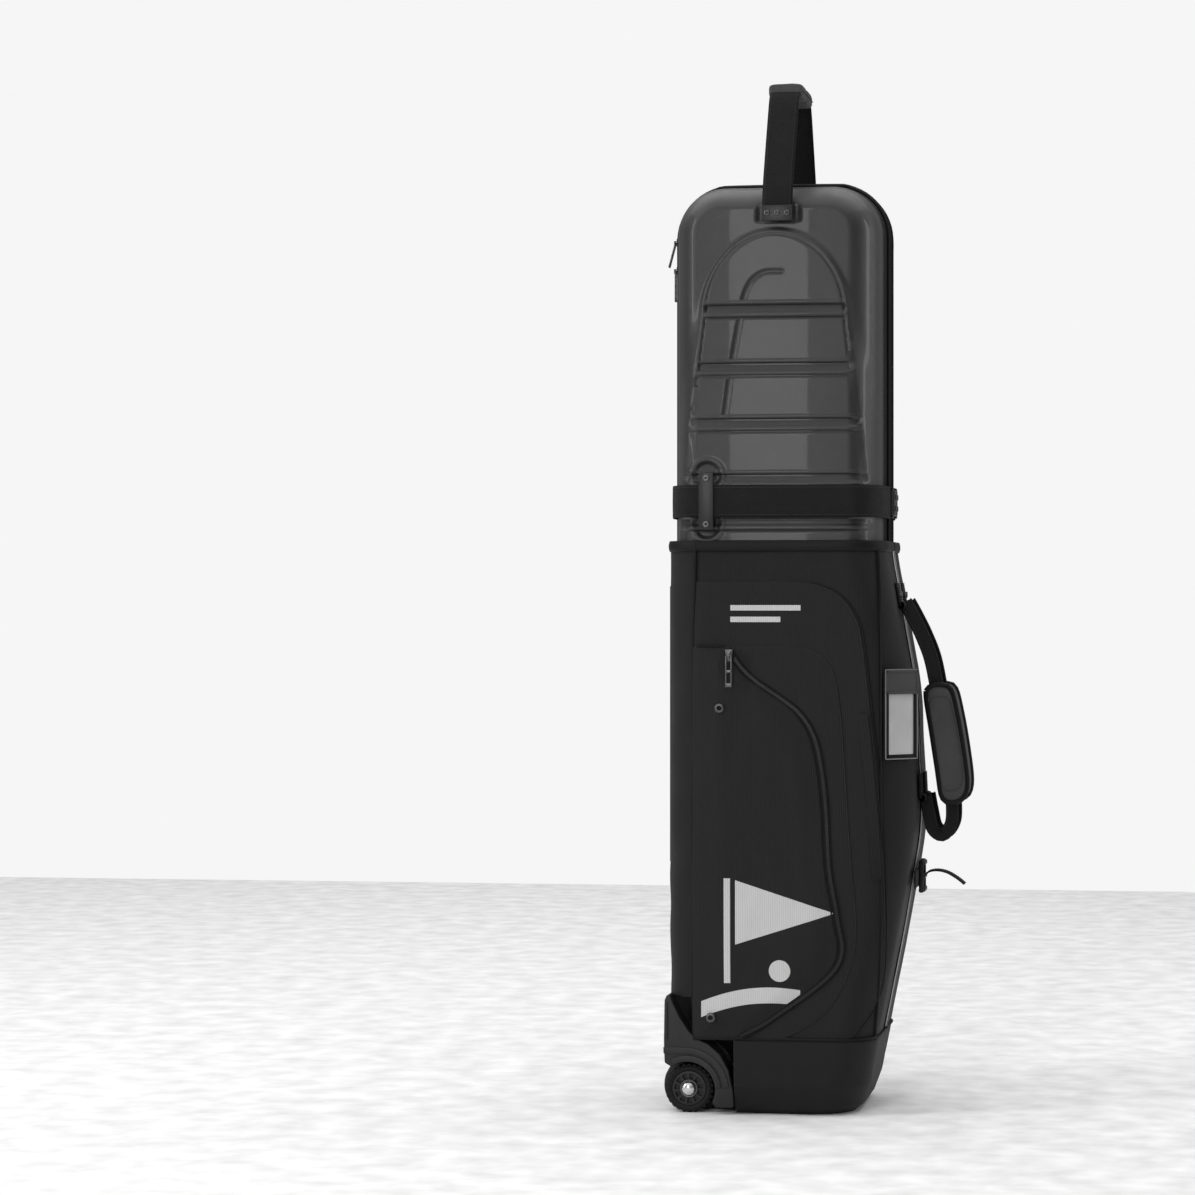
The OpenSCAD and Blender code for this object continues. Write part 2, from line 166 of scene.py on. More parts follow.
class Finish:
    """One material and the means to add nodes to it."""

    def __init__(self, name, roughness=0.6, metallic=0.0, sheen=0.0, coat=0.0, specular=0.5):
        self.material = bpy.data.materials.new(name)
        self.material.use_nodes = True
        self.tree = self.material.node_tree
        self.shader = self.tree.nodes["Principled BSDF"]
        for socket, number in (("Roughness", roughness), ("Metallic", metallic), ("Sheen Weight", sheen),
                               ("Coat Weight", coat), ("Specular IOR Level", specular)):
            self.shader.inputs[socket].default_value = number
        self.shader.inputs["Sheen Roughness"].default_value = 0.4

    def node(self, kind, settings=None, inputs=(), output=0):
        made = self.tree.nodes.new(kind)
        for key, setting in (settings or {}).items():
            setattr(made, key, setting)
        pairs = inputs.items() if isinstance(inputs, dict) else enumerate(inputs)
        for key, value in pairs:
            if isinstance(value, Value):
                self.tree.links.new(value.socket, made.inputs[key])
            else:
                made.inputs[key].default_value = value
        return Value(self, made.outputs[output])

    def axes(self, source="Object"):
        place = self.node("ShaderNodeTexCoord", output=3 if source == "Object" else 2)
        split = self.node("ShaderNodeSeparateXYZ", inputs=[place]).socket.node
        return place, [Value(self, split.outputs[i]) for i in range(3)]

    def noise(self, place, scale, detail=2.0):
        return self.node("ShaderNodeTexNoise", inputs={"Vector": place, "Scale": scale, "Detail": detail})

    def mix(self, mask, low, high):
        """A colour that goes from low to high with the mask."""
        return self.node("ShaderNodeMix", {"data_type": "RGBA"}, {0: mask, 6: low, 7: high}, output=2)

    def paint(self, colour):
        self.feed("Base Color", colour)

    def feed(self, socket, value):
        if isinstance(value, Value):
            self.tree.links.new(value.socket, self.shader.inputs[socket])
        else:
            self.shader.inputs[socket].default_value = value

    def bump(self, height, depth, strength=1.0):
        """Raises the surface by up to depth metres where height is 1."""
        self.feed("Normal", self.node("ShaderNodeBump", {}, {"Strength": strength, "Distance": depth,
                                                             "Height": height}))


def grey(level, tint=(1, 1, 1)):
    return (level * tint[0], level * tint[1], level * tint[2], 1)


# %% [markdown]
# ## The finishes
# Moulded plastic has a fine diagonal grain under its gloss. The fabric is ribbed, so the light
# makes stripes on it; its ribs follow the cloth through the piece's own UV map, laid out in metres.
# Webbing is a herringbone of thick yarns. Rubber and moulded fittings carry a fine mottled grain.

# %% Finishes


def shell_finish():
    f = Finish("shell", roughness=0.34, coat=0.1)
    place, (x, y, z) = f.axes()
    grain = (x + z).wave(0.0024) * (x - z).wave(0.0024)
    cloud = f.noise(place, 14)
    f.paint(f.mix(cloud + grain * 0.5, grey(0.006), grey(0.016)))
    f.feed("Roughness", 0.32 + f.noise(place, 60) * 0.1 + grain * 0.1)
    f.bump(grain, 0.00022)
    return f.material


def cloth_finish(name, level, rib=0.0026, tint=(1, 1, 1), marks=None, rough=0.62, gloss=0.2):
    """Ribbed cloth. marks, given the UV axes, returns the mask of a light print."""
    f = Finish(name, roughness=rough, sheen=0.03, specular=gloss)
    place, (u, v, w) = f.axes("UV")
    fade = f.noise(place, 9)
    ribs = u.wave(rib)
    yarn = (v + u * 0.5).wave(0.0011)
    cloth = f.mix(fade * 0.6 + ribs * 0.4, grey(level * 0.62, tint), grey(level * 1.35, tint))
    if marks:
        mask = marks(u, v)
        cloth = f.mix(mask, cloth, f.mix(ribs, grey(0.42), grey(0.54)))
    f.paint(cloth)
    f.feed("Roughness", rough - 0.08 + fade * 0.2)
    f.bump(ribs * 0.7 + yarn * 0.3, 0.00035)
    return f.material


def webbing_finish(name, level, along="UV"):
    f = Finish(name, roughness=0.7, sheen=0.02, specular=0.15)
    place, (u, v, w) = f.axes(along)
    weave = (u + v).wave(0.0042) * (v - u).wave(0.0042)
    f.paint(f.mix(weave, grey(level * 0.5), grey(level * 1.6)))
    f.feed("Roughness", 0.62 + f.noise(place, 40) * 0.2)
    f.bump(weave, 0.0005)
    return f.material


def moulded_finish(name, level, rough=0.5, grain=420, tint=(1, 1, 1), metallic=0.0, depth=0.00012,
                   specular=0.5):
    """Plastic, rubber or metal with a fine mottled grain."""
    f = Finish(name, roughness=rough, metallic=metallic, specular=specular)
    place, _ = f.axes()
    speck = f.noise(place, grain, 3.0)
    f.paint(f.mix(f.noise(place, 18), grey(level * 0.75, tint), grey(level * 1.3, tint)))
    f.feed("Roughness", rough - 0.08 + speck * 0.16)
    f.bump(speck, depth)
    return f.material


def tape_finish(name, level):
    """The fine herringbone cloth of a zip tape."""
    f = Finish(name, roughness=0.7, specular=0.15)
    place, (u, v, w) = f.axes("UV")
    weave = (u + v).wave(0.0018) * (v - u).wave(0.0018)
    f.paint(f.mix(weave, grey(level * 0.8), grey(level * 1.15)))
    f.bump(weave, 0.0002)
    return f.material


def pocket_print(u, v):
    """A plain golf flag: pole, pennant, ball and a low mound."""
    pole = u.between(-0.066, -0.057) * v.between(0.185, 0.330)
    slope = (v - 0.283).math("ABSOLUTE") * 3.1
    pennant = u.between(-0.050, 0.2) * (0.088 - u - slope).math("GREATER_THAN", 0.0) * (v.between(0.2, 0.33))
    ball = ((u - 0.012) * (u - 0.012) + (v - 0.203) * (v - 0.203)).math("LESS_THAN", 0.000225)
    mound = (v - 0.158 + u * u * 2.2).between(0.0, 0.022) * u.between(-0.098, 0.040)
    return (pole + pennant + ball + mound).math("MINIMUM", 1.0)


def panel_print(u, v):
    """Two short plain bars, one above the other."""
    upper = u.between(-0.058, 0.040) * v.between(0.700, 0.7075)
    lower = u.between(-0.058, 0.012) * v.between(0.684, 0.6915)
    return upper + lower


SHELL = shell_finish()
PANEL = cloth_finish("side panel cloth", 0.008, marks=panel_print)
POCKET = cloth_finish("pocket cloth", 0.008, marks=pocket_print)
GUSSET = cloth_finish("gusset cloth", 0.007, rib=0.0018)
LADDER = cloth_finish("ribbed strip cloth", 0.007, rib=0.0035)
PIPING = moulded_finish("piping", 0.005, rough=0.55, grain=900, specular=0.15)
WEBBING = webbing_finish("webbing", 0.009)
WEBBING_OBJ = webbing_finish("webbing fittings", 0.009, "Object")
TAPE = tape_finish("zip tape", 0.5)
TAPE_DARK = tape_finish("dark zip tape", 0.004)
TRIM = tape_finish("light trim", 0.22)
TEETH = moulded_finish("zip teeth", 0.01, rough=0.35, specular=0.3)
GRIP = moulded_finish("padded grip cloth", 0.035, rough=0.75, grain=260, tint=(0.95, 1.0, 0.95), depth=0.0006)
BOOT = cloth_finish("boot cloth", 0.008, rib=0.0014, rough=0.6)
BUCKLE = moulded_finish("buckle plastic", 0.008, rough=0.38, specular=0.3)
HOUSING = moulded_finish("housing plastic", 0.012, rough=0.5, depth=0.0002, specular=0.3)
RUBBER = moulded_finish("tyre rubber", 0.008, rough=0.72, specular=0.2)
HUB = moulded_finish("hub plastic", 0.008, rough=0.42, specular=0.3)
STEEL = moulded_finish("bright steel", 0.62, rough=0.25, metallic=1.0, grain=900)
DARK_METAL = moulded_finish("dark metal", 0.09, rough=0.35, metallic=0.9, grain=900)
LINING = moulded_finish("brushed lining", 0.14, rough=0.9, grain=300, depth=0.0006)
BOARD = moulded_finish("board", 0.08, rough=0.6)
CARD = moulded_finish("card window", 0.42, rough=0.22, grain=60)
THREAD = moulded_finish("thread", 0.03, rough=0.8, specular=0.2)
FLOOR = moulded_finish("studio floor", 0.8, rough=0.85, grain=40, depth=0.00005)
floor_mesh.materials.append(FLOOR)
print("finishes", len(bpy.data.materials))

# %% [markdown]
# ## Making a piece
# Every piece is shaped as a bmesh near the camera side, in millimetres, and then written to a mesh
# in metres. The case is the same on both sides, so a far piece is the near one turned over at the
# centre plane, with its faces reversed so that they still point outwards.

# %% Piece helpers


def write(name, bm, material, body="root", replaces=(), far=False, sharp=40, fold=False):
    """Turns a bmesh in millimetres into a piece on a body. With fold it goes on no body, its transform baked
    in.
    """
    name = name.replace(" ", "_")
    if far:
        bmesh.ops.scale(bm, vec=(1, -1, 1), verts=bm.verts)
        bmesh.ops.reverse_faces(bm, faces=bm.faces)
    bmesh.ops.scale(bm, vec=(MM, MM, MM), verts=bm.verts)
    for face in bm.faces:
        face.smooth = True
    for edge in bm.edges:
        if len(edge.link_faces) == 2 and edge.calc_face_angle(0) > math.radians(sharp):
            edge.smooth = False
    mesh = bpy.data.meshes.new(name)
    bm.to_mesh(mesh)
    bm.free()
    mesh.materials.append(material)
    obj = bpy.data.objects.new(name, mesh)
    bpy.context.collection.objects.link(obj)
    if fold:
        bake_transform(obj)
    else:
        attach(obj, body)
    if replaces:
        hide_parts(*replaces)
    print(name, len(mesh.polygons), "faces")
    return obj


def thicken(obj, thickness, offset=-1.0):
    wall = obj.modifiers.new("wall", "SOLIDIFY")
    wall.thickness, wall.offset = thickness * MM, offset
    return obj


def along(path, step):
    """Evenly spaced points along a path of vectors, rounded at its corners by a spline."""
    smooth = []
    for i in range(len(path) - 1):
        before, a, b, after = path[max(i - 1, 0)], path[i], path[i + 1], path[min(i + 2, len(path) - 1)]
        for k in range(12):
            t = k / 12
            smooth.append(0.5 * (2 * a + (b - before) * t + (2 * before - 5 * a + 4 * b - after) * t * t
                                 + (3 * a - before - 3 * b + after) * t ** 3))
    smooth.append(path[-1])
    total = sum((smooth[i + 1] - smooth[i]).length for i in range(len(smooth) - 1))
    count = max(2, round(total / step))
    points, walked, i = [], 0.0, 0
    for k in range(count + 1):
        goal = total * k / count
        while i < len(smooth) - 2 and walked + (smooth[i + 1] - smooth[i]).length < goal:
            walked += (smooth[i + 1] - smooth[i]).length
            i += 1
        span = (smooth[i + 1] - smooth[i]).length or 1.0
        points.append(smooth[i].lerp(smooth[i + 1], min(1.0, (goal - walked) / span)))
    return points


def frames(points, outward):
    """For each point its direction, its outward normal and the way across."""
    result = []
    for i, point in enumerate(points):
        ahead = (points[min(i + 1, len(points) - 1)] - points[max(i - 1, 0)]).normalized()
        out = outward(point) if callable(outward) else Vector(outward)
        out = (out - ahead * out.dot(ahead)).normalized()
        result.append((point, ahead, out, ahead.cross(out)))
    return result


def ribbon(points, outward, width, crown=0.0, across=4):
    """A flat strap along the points, with UVs in metres across and along."""
    bm = bmesh.new()
    rows = frames(points, outward)
    bmesh.ops.create_grid(bm, x_segments=across, y_segments=len(points) - 1, size=0.5)
    uv = bm.loops.layers.uv.new("UVMap")
    length, travelled = 0.0, []
    for i, point in enumerate(points):
        length += (point - points[i - 1]).length if i else 0.0
        travelled.append(length)
    for face in bm.faces:
        for loop in face.loops:
            row = round((loop.vert.co.y + 0.5) * (len(points) - 1))
            loop[uv].uv = (loop.vert.co.x * width * MM, travelled[row] * MM)
    for vert in bm.verts:
        row = round((vert.co.y + 0.5) * (len(points) - 1))
        point, ahead, out, side = rows[row]
        share = vert.co.x
        vert.co = point + side * (share * width) + out * (crown * (1 - 4 * share * share))
    bmesh.ops.reverse_faces(bm, faces=bm.faces)
    return bm


def cord_tube(points, radius, outward=(0, -1, 0), sides=8, flat=1.0):
    """A closed round tube along the points, from a spun ring extruded row by row."""
    bm = bmesh.new()
    rows = frames(points, outward)
    ring = bmesh.ops.create_circle(bm, cap_ends=True, segments=sides, radius=radius)["verts"]
    shape = [v.co.copy() for v in ring]
    first = ring
    for n, (point, ahead, out, side) in enumerate(rows):
        if n:
            face = next(f for f in bm.faces if all(v in f.verts for v in first))
            made = bmesh.ops.extrude_face_region(bm, geom=[face])["geom"]
            bmesh.ops.delete(bm, geom=[face], context="FACES_ONLY")
            fresh = [v for v in made if isinstance(v, bmesh.types.BMVert)]
            fresh.sort(key=lambda v: min(range(sides), key=lambda k: (v.co - first[k].co).length_squared))
            first = fresh
        for vert, place in zip(first, shape):
            vert.co = point + side * place.x + out * place.y * flat
    bmesh.ops.recalc_face_normals(bm, faces=bm.faces)
    return bm


def block(low, high, bevel=1.0, segments=2):
    """A moulded block between two corners with rounded edges."""
    bm = bmesh.new()
    bmesh.ops.create_cube(bm, size=1)
    size = Vector(high) - Vector(low)
    bmesh.ops.scale(bm, vec=size, verts=bm.verts)
    bmesh.ops.translate(bm, vec=(Vector(high) + Vector(low)) / 2, verts=bm.verts)
    bmesh.ops.bevel(bm, geom=bm.edges[:], offset=bevel, offset_type="OFFSET", affect="EDGES", segments=segments,
                    profile=0.5, material=-1, clamp_overlap=True)
    return bm


def join(*parts):
    """One bmesh from several, which it uses up."""
    whole = parts[0]
    for part in parts[1:]:
        spare = bpy.data.meshes.new("spare")
        part.to_mesh(spare)
        part.free()
        whole.from_mesh(spare)
        bpy.data.meshes.remove(spare)
    return whole


def turned(profile, centre, axis="Y", steps=64):
    """A turned piece: the profile holds (radius, place along the axis) pairs."""
    bm = bmesh.new()
    verts = [bm.verts.new((r, a, 0)) for r, a in profile]
    edges = [bm.edges.new(pair) for pair in zip(verts, verts[1:])]
    bmesh.ops.spin(bm, geom=verts + edges, cent=(0, 0, 0), axis=(0, 1, 0), angle=2 * math.pi, steps=steps,
                   use_merge=True)
    bmesh.ops.remove_doubles(bm, verts=bm.verts, dist=0.001)
    bmesh.ops.recalc_face_normals(bm, faces=bm.faces)
    if axis == "X":
        turn = ((0, -1, 0), (1, 0, 0), (0, 0, 1))
        for vert in bm.verts:
            vert.co = Vector([sum(a * b for a, b in zip(row, vert.co)) for row in turn])
    bmesh.ops.translate(bm, vec=centre, verts=bm.verts)
    return bm


# %% [markdown]
# ## The hard shell
# Each half is one vacuum-formed tray. Its wall runs straight off the zip, then curves into a flat
# face that carries a raised arch, a curved groove and five pressed ribs. A grid whose lines crowd
# towards the rim is laid over the tray; a rounded-box distance gives the depth at every point, and
# the relief is added to it. Extruding the open edges gives the straight wall and the rim's flange.

# %% Shell tray
SHELL_LOW, SHELL_HIGH = mm("shell_near")
HALF_D = SHELL_HIGH.x
SHELL_TOP = SHELL_HIGH.z
RIM_Z = SHELL_LOW.z
FACE_Y = -SHELL_LOW.y
CORNER = 75
DISH = 40
STRAIGHT = 35
RIM_Y = -SHELL_HIGH.y
FLANGE = 5
FLANGE_Y = 23
TRAY_D, TRAY_TOP, TRAY_CORNER = HALF_D - FLANGE, SHELL_TOP - FLANGE, CORNER - FLANGE


def ease(t):
    t = max(0.0, min(1.0, t))
    return t * t * (3 - 2 * t)


def rim_distance(x, z):
    """How far a point lies inside the shell's outline."""
    qx = abs(x) - (TRAY_D - TRAY_CORNER)
    qz = z - (TRAY_TOP - TRAY_CORNER)
    corner = math.hypot(max(qx, 0), max(qz, 0)) + min(max(qx, qz), 0)
    return max(0.0, TRAY_CORNER - corner)


def dish_y(x, z):
    """Depth of the plain tray at a point, measured out from the centre plane."""
    inset = min(rim_distance(x, z) / DISH, 1.0)
    return STRAIGHT + (FACE_Y - STRAIGHT) * math.sqrt(max(0.0, 1 - (1 - inset) ** 2))


ARCH_MIDDLE, ARCH_SPRING, ARCH_WIDE, ARCH_RISE = 3, 1110, 98, 113
ARCH_SPREAD, FLARE_SPREAD, FLARE_TOP = 0.119, 0.11, 1180
RAISE = 6.0
CROWN = 3.5


def past_arch(x, z):
    """How far a point lies outside the arch's edge, in millimetres, negative inside it."""
    x -= ARCH_MIDDLE
    if z > ARCH_SPRING:
        share = math.hypot(x / ARCH_WIDE, (z - ARCH_SPRING) / ARCH_RISE)
        return (share - 1) * ARCH_WIDE
    return abs(x) - ARCH_WIDE - (ARCH_SPRING - z) * ARCH_SPREAD


RIBS = (1116, 1035, 958, 881, 821)
RIB_HALF = 9
RIB_STEPS = [(-5, 0), (-1.8, 1.3), (0, 0.9), (2.4, -3.4), (9, -2.0), (15.5, 2.2), (17.2, 1.8), (18.8, -1.4),
             (23, 0)]
BOSSES = (887, 819)
ANCHOR_Z = 1249
HOOK = along([Vector(p) for p in ((12, 1169), (-12, 1168), (-30, 1155), (-40, 1133), (-44, 1112), (-57, 1040),
                                   (-66, 975), (-70, 948))], 6)


def distance_to(path, point):
    best = 1e9
    for a, b in zip(path, path[1:]):
        d = b - a
        t = max(0.0, min(1.0, (point - a).dot(d) / d.length_squared))
        best = min(best, (point - a - d * t).length)
    return best


def rib_height(drop):
    """Height of a pressed rib at a drop below its upper edge: a lip, a slope and a sharp lower step."""
    for (a, low), (b, high) in zip(RIB_STEPS, RIB_STEPS[1:]):
        if a <= drop <= b:
            return low + (high - low) * ease((drop - a) / (b - a))
    return 0.0


def pressed(x, z):
    """Relief of the shell's face in millimetres, outwards positive."""
    past = past_arch(x, z)
    flare = 7 + max(0.0, FLARE_TOP - z) * FLARE_SPREAD
    relief = RAISE * (1 - ease(past / flare)) if past > 0 else RAISE
    relief += 1.3 * ease(1 - abs(past - 3.4) / 3.2) - 1.7 * ease(1 - abs(past + 1.6) / 2.6)
    for middle in RIBS:
        drop = middle + RIB_HALF - z
        if RIB_STEPS[0][0] < drop < RIB_STEPS[-1][0]:
            relief += rib_height(drop) * ease((3 - past) / 5)
    if -90 < x < 30 and 930 < z < 1185 and all(abs(z - middle) > 13 for middle in RIBS):
        relief -= 2.8 * ease((4.0 - distance_to(HOOK, Vector((x, z)))) / 2.4)
    for z0 in BOSSES:
        away = math.hypot(x - KEEPER_X, z - z0)
        relief += 1.4 * ease(1 - abs(away - 23) / 5)
        relief -= 4.5 * ease((21 - away) / 6)
    relief -= 3.5 * ease((13 - abs(z - ANCHOR_Z)) / 5) * ease((34 - abs(x - HANDLE_X)) / 8)
    return relief - 5.0 - CROWN * min(1.0, ((x - ARCH_MIDDLE) / 110) ** 2)


KEEPER_X = (mm("keeper_near")[0].x + mm("keeper_near")[1].x) / 2
HANDLE_X = (mm("handle_strap_near")[0].x + mm("handle_strap_near")[1].x) / 2


def insets():
    return [DISH * (1 - math.cos(math.radians(a))) for a in range(0, 91, 6)]


def grow(vert, amount):
    """Moves a rim point outwards in the plane of the rim."""
    core = Vector((max(-TRAY_D + TRAY_CORNER, min(TRAY_D - TRAY_CORNER, vert.co.x)), 0,
                   min(vert.co.z, TRAY_TOP - TRAY_CORNER)))
    away = Vector((vert.co.x, 0, vert.co.z)) - core
    vert.co += away.normalized() * amount


def shell_half(name, body, far):
    columns = [-TRAY_D + i for i in insets()]
    flat = TRAY_D - DISH
    columns += [-flat + 2 * flat * k / 104 for k in range(1, 104)] + [TRAY_D - i for i in reversed(insets())]
    face_top = TRAY_TOP - DISH
    rows = [RIM_Z + (face_top - RIM_Z) * k / 280 for k in range(280)]
    rows += [TRAY_TOP - i for i in reversed(insets())]
    bm = bmesh.new()
    bmesh.ops.create_grid(bm, x_segments=len(columns) - 1, y_segments=len(rows) - 1, size=0.5)
    for vert in bm.verts:
        column = round((vert.co.x + 0.5) * (len(columns) - 1))
        row = round((vert.co.y + 0.5) * (len(rows) - 1))
        z = rows[row]
        over = max(0.0, z - (TRAY_TOP - TRAY_CORNER))
        narrow = (TRAY_D - TRAY_CORNER + math.sqrt(max(0.0, TRAY_CORNER ** 2 - over ** 2))) / TRAY_D
        x = columns[column] * narrow
        keep = ease(rim_distance(x, z) / 14)
        vert.co = Vector((x, -dish_y(x, z) - keep * pressed(x, z), z))
    edge = [e for e in bm.edges if e.is_boundary
            and not all(abs(v.co.z - RIM_Z) < 0.01 for v in e.verts)]
    for y, outwards in ((-FLANGE_Y, 0), (-FLANGE_Y + 1.5, FLANGE - 2), (-RIM_Y, 0)):
        made = bmesh.ops.extrude_edge_only(bm, edges=edge)["geom"]
        edge = [g for g in made if isinstance(g, bmesh.types.BMEdge)]
        for vert in (g for g in made if isinstance(g, bmesh.types.BMVert)):
            vert.co.y = y
            grow(vert, outwards)
    obj = write(name, bm, SHELL, body, ["shell_far" if far else "shell_near"], far, sharp=60)
    return thicken(obj, SHELL_WALL)


SHELL_WALL = 2.6
shell_half("near shell half", "near_half", False)
shell_half("far shell half", "root", True)


# %% [markdown]
# ## Piping, tape and teeth on the rim
# Both shell halves end in a sewn double piping. Between them lies the light zip tape, and its coil
# runs on the centre line. All of these follow one outline: up the back, over the top, down the front.

# %% Rim trim


def rim_line(inset, y):
    """The shell's outline from the foot of its back edge to the foot of its front edge."""
    heights = (RIM_Z, (RIM_Z + SHELL_TOP) / 2, SHELL_TOP - CORNER - 30)
    points = [Vector((-HALF_D + inset, y, z)) for z in heights]
    for centre, start in ((-(HALF_D - CORNER), 180), (HALF_D - CORNER, 90)):
        for k in range(7):
            angle = math.radians(start - 15 * k)
            points.append(Vector((centre + (CORNER - inset) * math.cos(angle), y,
                                  SHELL_TOP - CORNER + (CORNER - inset) * math.sin(angle))))
    return points + [Vector((HALF_D - inset, y, z)) for z in reversed(heights)]


def from_middle(point):
    """Outward direction in the plane of the rim."""
    core = Vector((max(-70, min(70, point.x)), 0, min(point.z, SHELL_TOP - CORNER)))
    away = Vector((point.x, 0, point.z)) - core
    return away.normalized() if away.length > 1 else Vector((0, 0, 1))


def teeth(points, outward, half, pitch=2.6, body="root", name="teeth", far=False):
    """Coil turns of one side of a zip, a small rounded bar at each pitch."""
    bm = bmesh.new()
    for point, ahead, out, side in frames(along(points, pitch), outward):
        made = bmesh.ops.create_cube(bm, size=1)["verts"]
        for vert in made:
            c = vert.co
            vert.co = point + side * (c.x * half) + ahead * (c.y * 1.3) + out * (c.z * 1.7)
    bmesh.ops.recalc_face_normals(bm, faces=bm.faces)
    return write(name, bm, TEETH, body, (), far)


def rim_trim(side, body, far):
    for number, (inset, y, radius) in enumerate(((-0.8, -15.4, 2.6), (0.4, -20.6, 2.4))):
        bm = cord_tube(along(rim_line(inset, y), 9), radius, from_middle)
        write(f"{side} rim piping {number + 1}", bm, PIPING, body, (), far)
    line = along(rim_line(1.8, -7.1), 9)
    tape = write(f"{side} shell zip tape", ribbon(line, from_middle, 12.2, across=3), TAPE, body,
                 [f"zip_tape_{side}"], far)
    thicken(tape, 1.0, 0)
    teeth(rim_line(0.6, -1.9), from_middle, 3.0, body=body, name=f"{side} shell zip teeth", far=far)


rim_trim("near", "near_half", False)
rim_trim("far", "root", True)

# %% [markdown]
# ## The shape of the soft body
# Every sewn piece lies on one surface: a rounded rectangle in plan whose back, front and half width
# change with height. A place on it is given by the distance round from the middle of the near side,
# positive towards the front, and by its height, just as a pattern cutter would measure it.

# %% Body surface
BODY_R = 55
LOFT = [(0, -112, 104, 100), (12, -130, 118, 115), (40, -142, 128, 126), (110, -149, 142, 131),
        (250, -150, 170, 133), (400, -150, 195, 134), (590, -149, 187, 133), (795, -150, 150, 130)]


def section(z):
    """Back, front and half width at a height, eased between the loft's rows."""
    def plain(h):
        h = max(0, min(795, h))
        for low, high in zip(LOFT, LOFT[1:]):
            if h <= high[0]:
                t = (h - low[0]) / (high[0] - low[0])
                return Vector([a + (b - a) * t for a, b in zip(low[1:], high[1:])])
    if z < 60:
        return plain(z)
    return (plain(z - 30) + plain(z - 15) + plain(z) + plain(z + 15) + plain(z + 30)) / 5


def place(s, z, out=0.0):
    """Point of the near half of the body s mm round from the side's middle, z up, out proud of it."""
    back, front, half = section(z)
    mirror = 1 if s >= 0 else -1
    reach = (front if s >= 0 else -back) - BODY_R
    s = abs(s)
    if s <= reach:
        return Vector((mirror * s, -half - out, z))
    angle = (s - reach) / BODY_R
    if angle <= math.pi / 2:
        return Vector((mirror * (reach + (BODY_R + out) * math.sin(angle)),
                       -(half - BODY_R) - (BODY_R + out) * math.cos(angle), z))
    return Vector((mirror * (reach + BODY_R + out), -(half - BODY_R) + (s - reach - BODY_R * math.pi / 2), z))


def outward_at(point):
    """Outward normal of the body near a point."""
    back, front, half = section(point.z)
    cx = max(back + BODY_R, min(front - BODY_R, point.x))
    cy = max(-(half - BODY_R), min(half - BODY_R, point.y))
    away = Vector((point.x - cx, point.y - cy, 0))
    return away.normalized() if away.length > 0.1 else Vector((0, -1, 0))


def middle_of(z, front=True):
    """How far round the centre plane lies, at the front or at the back."""
    back, ahead, half = section(z)
    reach = (ahead if front else -back) - BODY_R
    return (1 if front else -1) * (reach + BODY_R * math.pi / 2 + half - BODY_R)


def round_to(x, z):
    """Distance round to a point of the side view, over the rounded corner where it lies past the flat."""
    back, front, _ = section(z)
    reach = (front if x > 0 else -back) - BODY_R
    past = abs(x) - reach
    if past <= 0:
        return x
    return (1 if x > 0 else -1) * (reach + BODY_R * math.asin(min(1.0, past / BODY_R)))


def wrinkle(s, z, size, depth):
    """Soft creases of the cloth, always the same."""
    return depth * noise.noise(Vector((s / size, z / size / 1.7, 3.1)))


def sheet_piece(left, right, low, high, step, out):
    """A grid laid on the body between two edges; the edges and out are functions of place."""
    rows = round((high - low) / step)
    middle = (low + high) / 2
    columns = max(4, round((right(middle) - left(middle)) / step))
    bm = bmesh.new()
    bmesh.ops.create_grid(bm, x_segments=columns, y_segments=rows, size=0.5)
    uv = bm.loops.layers.uv.new("UVMap")
    flat = {}
    for vert in bm.verts:
        z = low + (vert.co.y + 0.5) * (high - low)
        s = left(z) + (vert.co.x + 0.5) * (right(z) - left(z))
        flat[vert.index] = (s * MM, z * MM)
        vert.co = place(s, z, out(s, z))
    for face in bm.faces:
        for loop in face.loops:
            loop[uv].uv = flat[loop.vert.index]
    return bm


def edge_of(path):
    """The side-view edge through given (x, z) points, as a function of height giving distance round."""
    line = along([Vector(p) for p in path], 4)
    line.sort(key=lambda p: p.y)

    def at(z):
        z = max(line[0].y, min(line[-1].y, z))
        for a, b in zip(line, line[1:]):
            if z <= b.y:
                t = (z - a.y) / ((b.y - a.y) or 1)
                return round_to(a.x + (b.x - a.x) * t, z)
        return round_to(line[-1].x, z)
    return at


# %% [markdown]
# ## Side panels
# The side is built up in layers, as it is sewn: a base panel, an upper panel inside the first seam,
# a ribbed panel inside the second, and on the near side a pocket. Each layer is its own thin sheet
# whose front edge follows its seam, so every seam is a real step.

# %% Side panels
SEAM_BACK, SEAM_FRONT = -109, 152
BOOT_TOP = 105
PANEL_TOP = mm("side_panel_near")[1].z - 1
SEAM_1 = [(110, 108), (139, 150), (154, 210), (157, 345), (150, 459), (137, 580), (128, 653), (122, 682),
          (108, 708), (86, 727), (49, 739), (20, 741)]
SEAM_2 = [(16, 106), (79, 148), (112, 210), (120, 268), (113, 359), (105, 475), (100, 546), (93, 597),
          (84, 623), (66, 641), (38, 650), (0, 652)]
ZIP_EDGE = [(-60, 108), (-30, 118), (21, 152), (63, 183), (89, 210), (96, 237), (91, 265), (87, 292), (78, 345),
            (73, 431), (66, 489), (55, 531), (32, 563), (-3, 588), (-36, 612), (-66, 650)]
edge_1, edge_2, zip_edge = edge_of(SEAM_1), edge_of(SEAM_2), edge_of(ZIP_EDGE)


def rounded_edge(value, width):
    """0 at an edge, rising to 1 over the width like a turned hem."""
    t = max(0.0, min(1.0, value / width))
    return math.sqrt(1 - (1 - t) ** 2)


def base_out(s, z):
    return 0.3 + wrinkle(s, z, 70, 1.4) + wrinkle(s + 90, z, 26, 0.5)


